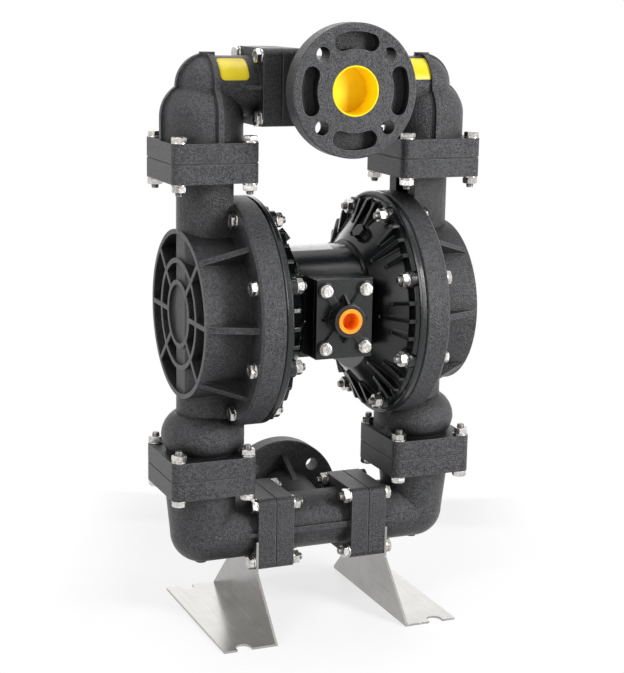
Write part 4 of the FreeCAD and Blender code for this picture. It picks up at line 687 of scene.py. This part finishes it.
# Its own light: the share of it, its strength, and its tones from the start to the end.
SHEET_GLOW_SHARE = 0.62
SHEET_GLOW = 1.2
SHEET_TONES = [(0.0, 0.97), (0.35, 0.95), (0.80, 0.91), (0.85, 0.82), (1.0, 0.82)]
FLOOR_REACH = 6.0

WORLD_LIGHT = 0.13
LIGHT_TARGET = (0.0, 0.0, 0.42)


def sheet_material():
    """A pale sheet: part of its light is its own, so that shadows on it stay faint."""
    t = Surface("floor")
    t.set("Roughness", 0.45)
    t.set("Specular IOR Level", 0.2)
    mottle = t.noise(9.0, detail=4.0, rough=0.6)
    t.link(t.ramp(mottle, [(0.3, 0.80), (0.7, 0.86)]), t.shader, "Base Color")

    away = t.along((-math.sin(CAMERA_YAW), math.cos(CAMERA_YAW), 0.0))
    across = t.along((math.cos(CAMERA_YAW), math.sin(CAMERA_YAW), 0.0))
    tone = t.ramp(t.spread(away, 0.0, 1.0, SHEET_START, SHEET_END), SHEET_TONES)
    glow = t.light("ShaderNodeEmission", tone, SHEET_GLOW)
    clear = t.light("ShaderNodeEmission", WHITE, 1.0)
    near = t.mix_shaders(SHEET_GLOW_SHARE, t.shader.outputs["BSDF"], glow)
    beyond = t.spread(away, 0.0, 1.0, SHEET_END, SHEET_END + SHEET_END_FADE)
    aside = t.spread(t.math("ABSOLUTE", across, 0.0), 0.0, 1.0, *SHEET_SIDE_FADE)
    whole = t.mix_shaders(t.math("MAXIMUM", beyond, aside), near, clear)
    t.link(whole, t.out, "Surface")
    return t.material


def make_floor():
    """A level square, far wider than the camera sees."""
    mesh = bpy.data.meshes.new("floor")
    corners = [(sx * FLOOR_REACH, sy * FLOOR_REACH, 0)
               for sx, sy in ((-1, -1), (1, -1), (1, 1), (-1, 1))]
    mesh.from_pydata(corners, [], [(0, 1, 2, 3)])
    mesh.materials.append(sheet_material())
    floor = bpy.data.objects.new("floor", mesh)
    bpy.context.scene.collection.objects.link(floor)


def make_world():
    """White where it is seen directly, mirrored or looked through, and weak as a light."""
    world = bpy.data.worlds.new("studio")
    bpy.context.scene.world = world
    world.use_nodes = True
    t = Graph(world.node_tree)
    lit = t.light("ShaderNodeBackground", WHITE, WORLD_LIGHT)
    seen = t.light("ShaderNodeBackground", WHITE, 1.0)
    path = t.add("ShaderNodeLightPath")
    shown = path.outputs["Is Camera Ray"]
    for ray in ("Is Glossy Ray", "Is Transmission Ray"):
        shown = t.math("MAXIMUM", shown, path.outputs[ray])
    t.link(t.mix_shaders(shown, lit, seen), t.add("ShaderNodeOutputWorld"), "Surface")


def area_light(name, place, size, power):
    """A rectangular lamp turned to the pump's middle."""
    data = bpy.data.lights.new(name, "AREA")
    data.shape = "RECTANGLE"
    data.size, data.size_y = size
    data.energy = power
    light = bpy.data.objects.new(name, data)
    light.location = place
    light.rotation_mode = "QUATERNION"
    light.rotation_quaternion = (Vector(LIGHT_TARGET) - Vector(place)).to_track_quat("-Z", "Y")
    bpy.context.scene.collection.objects.link(light)


def make_lights():
    """Tall lamps on both sides, and soft ones above and behind."""
    area_light("key_left", place=(-1.7, -0.9, 1.25), size=(0.6, 1.5), power=18.0)
    area_light("key_right", place=(1.3, -1.6, 1.0), size=(0.4, 1.5), power=48.0)
    area_light("top", place=(0.0, 0.1, 2.0), size=(1.4, 0.9), power=11.0)
    area_light("back", place=(0.6, 1.9, 1.1), size=(1.4, 1.4), power=6.0)


def make_camera():
    """The camera stands to the left in front of the pump, a little above its middle."""
    level = math.cos(CAMERA_PITCH)
    forward = Vector((-math.sin(CAMERA_YAW) * level, math.cos(CAMERA_YAW) * level,
                      math.sin(CAMERA_PITCH)))
    side = forward.cross(Vector((0, 0, 1))).normalized()
    up = side.cross(forward)
    right = side * math.cos(CAMERA_ROLL) + up * math.sin(CAMERA_ROLL)
    top = up * math.cos(CAMERA_ROLL) - side * math.sin(CAMERA_ROLL)
    turn = Matrix((right, top, -forward)).transposed().to_4x4()
    data = bpy.data.cameras.new("camera")
    data.sensor_width = 36.0
    data.lens = CAMERA_LENS
    data.clip_start = 0.05
    camera = bpy.data.objects.new("camera", data)
    camera.matrix_world = Matrix.Translation(CAMERA_PLACE) @ turn
    bpy.context.scene.collection.objects.link(camera)
    bpy.context.scene.camera = camera


# ---------------------------------------------------------------------------------------------
# The whole scene
# ---------------------------------------------------------------------------------------------

make_black_plastics()
make_steels()
make_soft_plastics()
dress_nodes()
for kind, axis in (("chamber", X), ("column", Z), ("manifold", X)):
    make_fasteners(kind, axis)
make_inlet_screws()
make_plates()
make_floor()
make_world()
make_lights()
make_camera()
bpy.context.scene.view_settings.view_transform = "Standard"
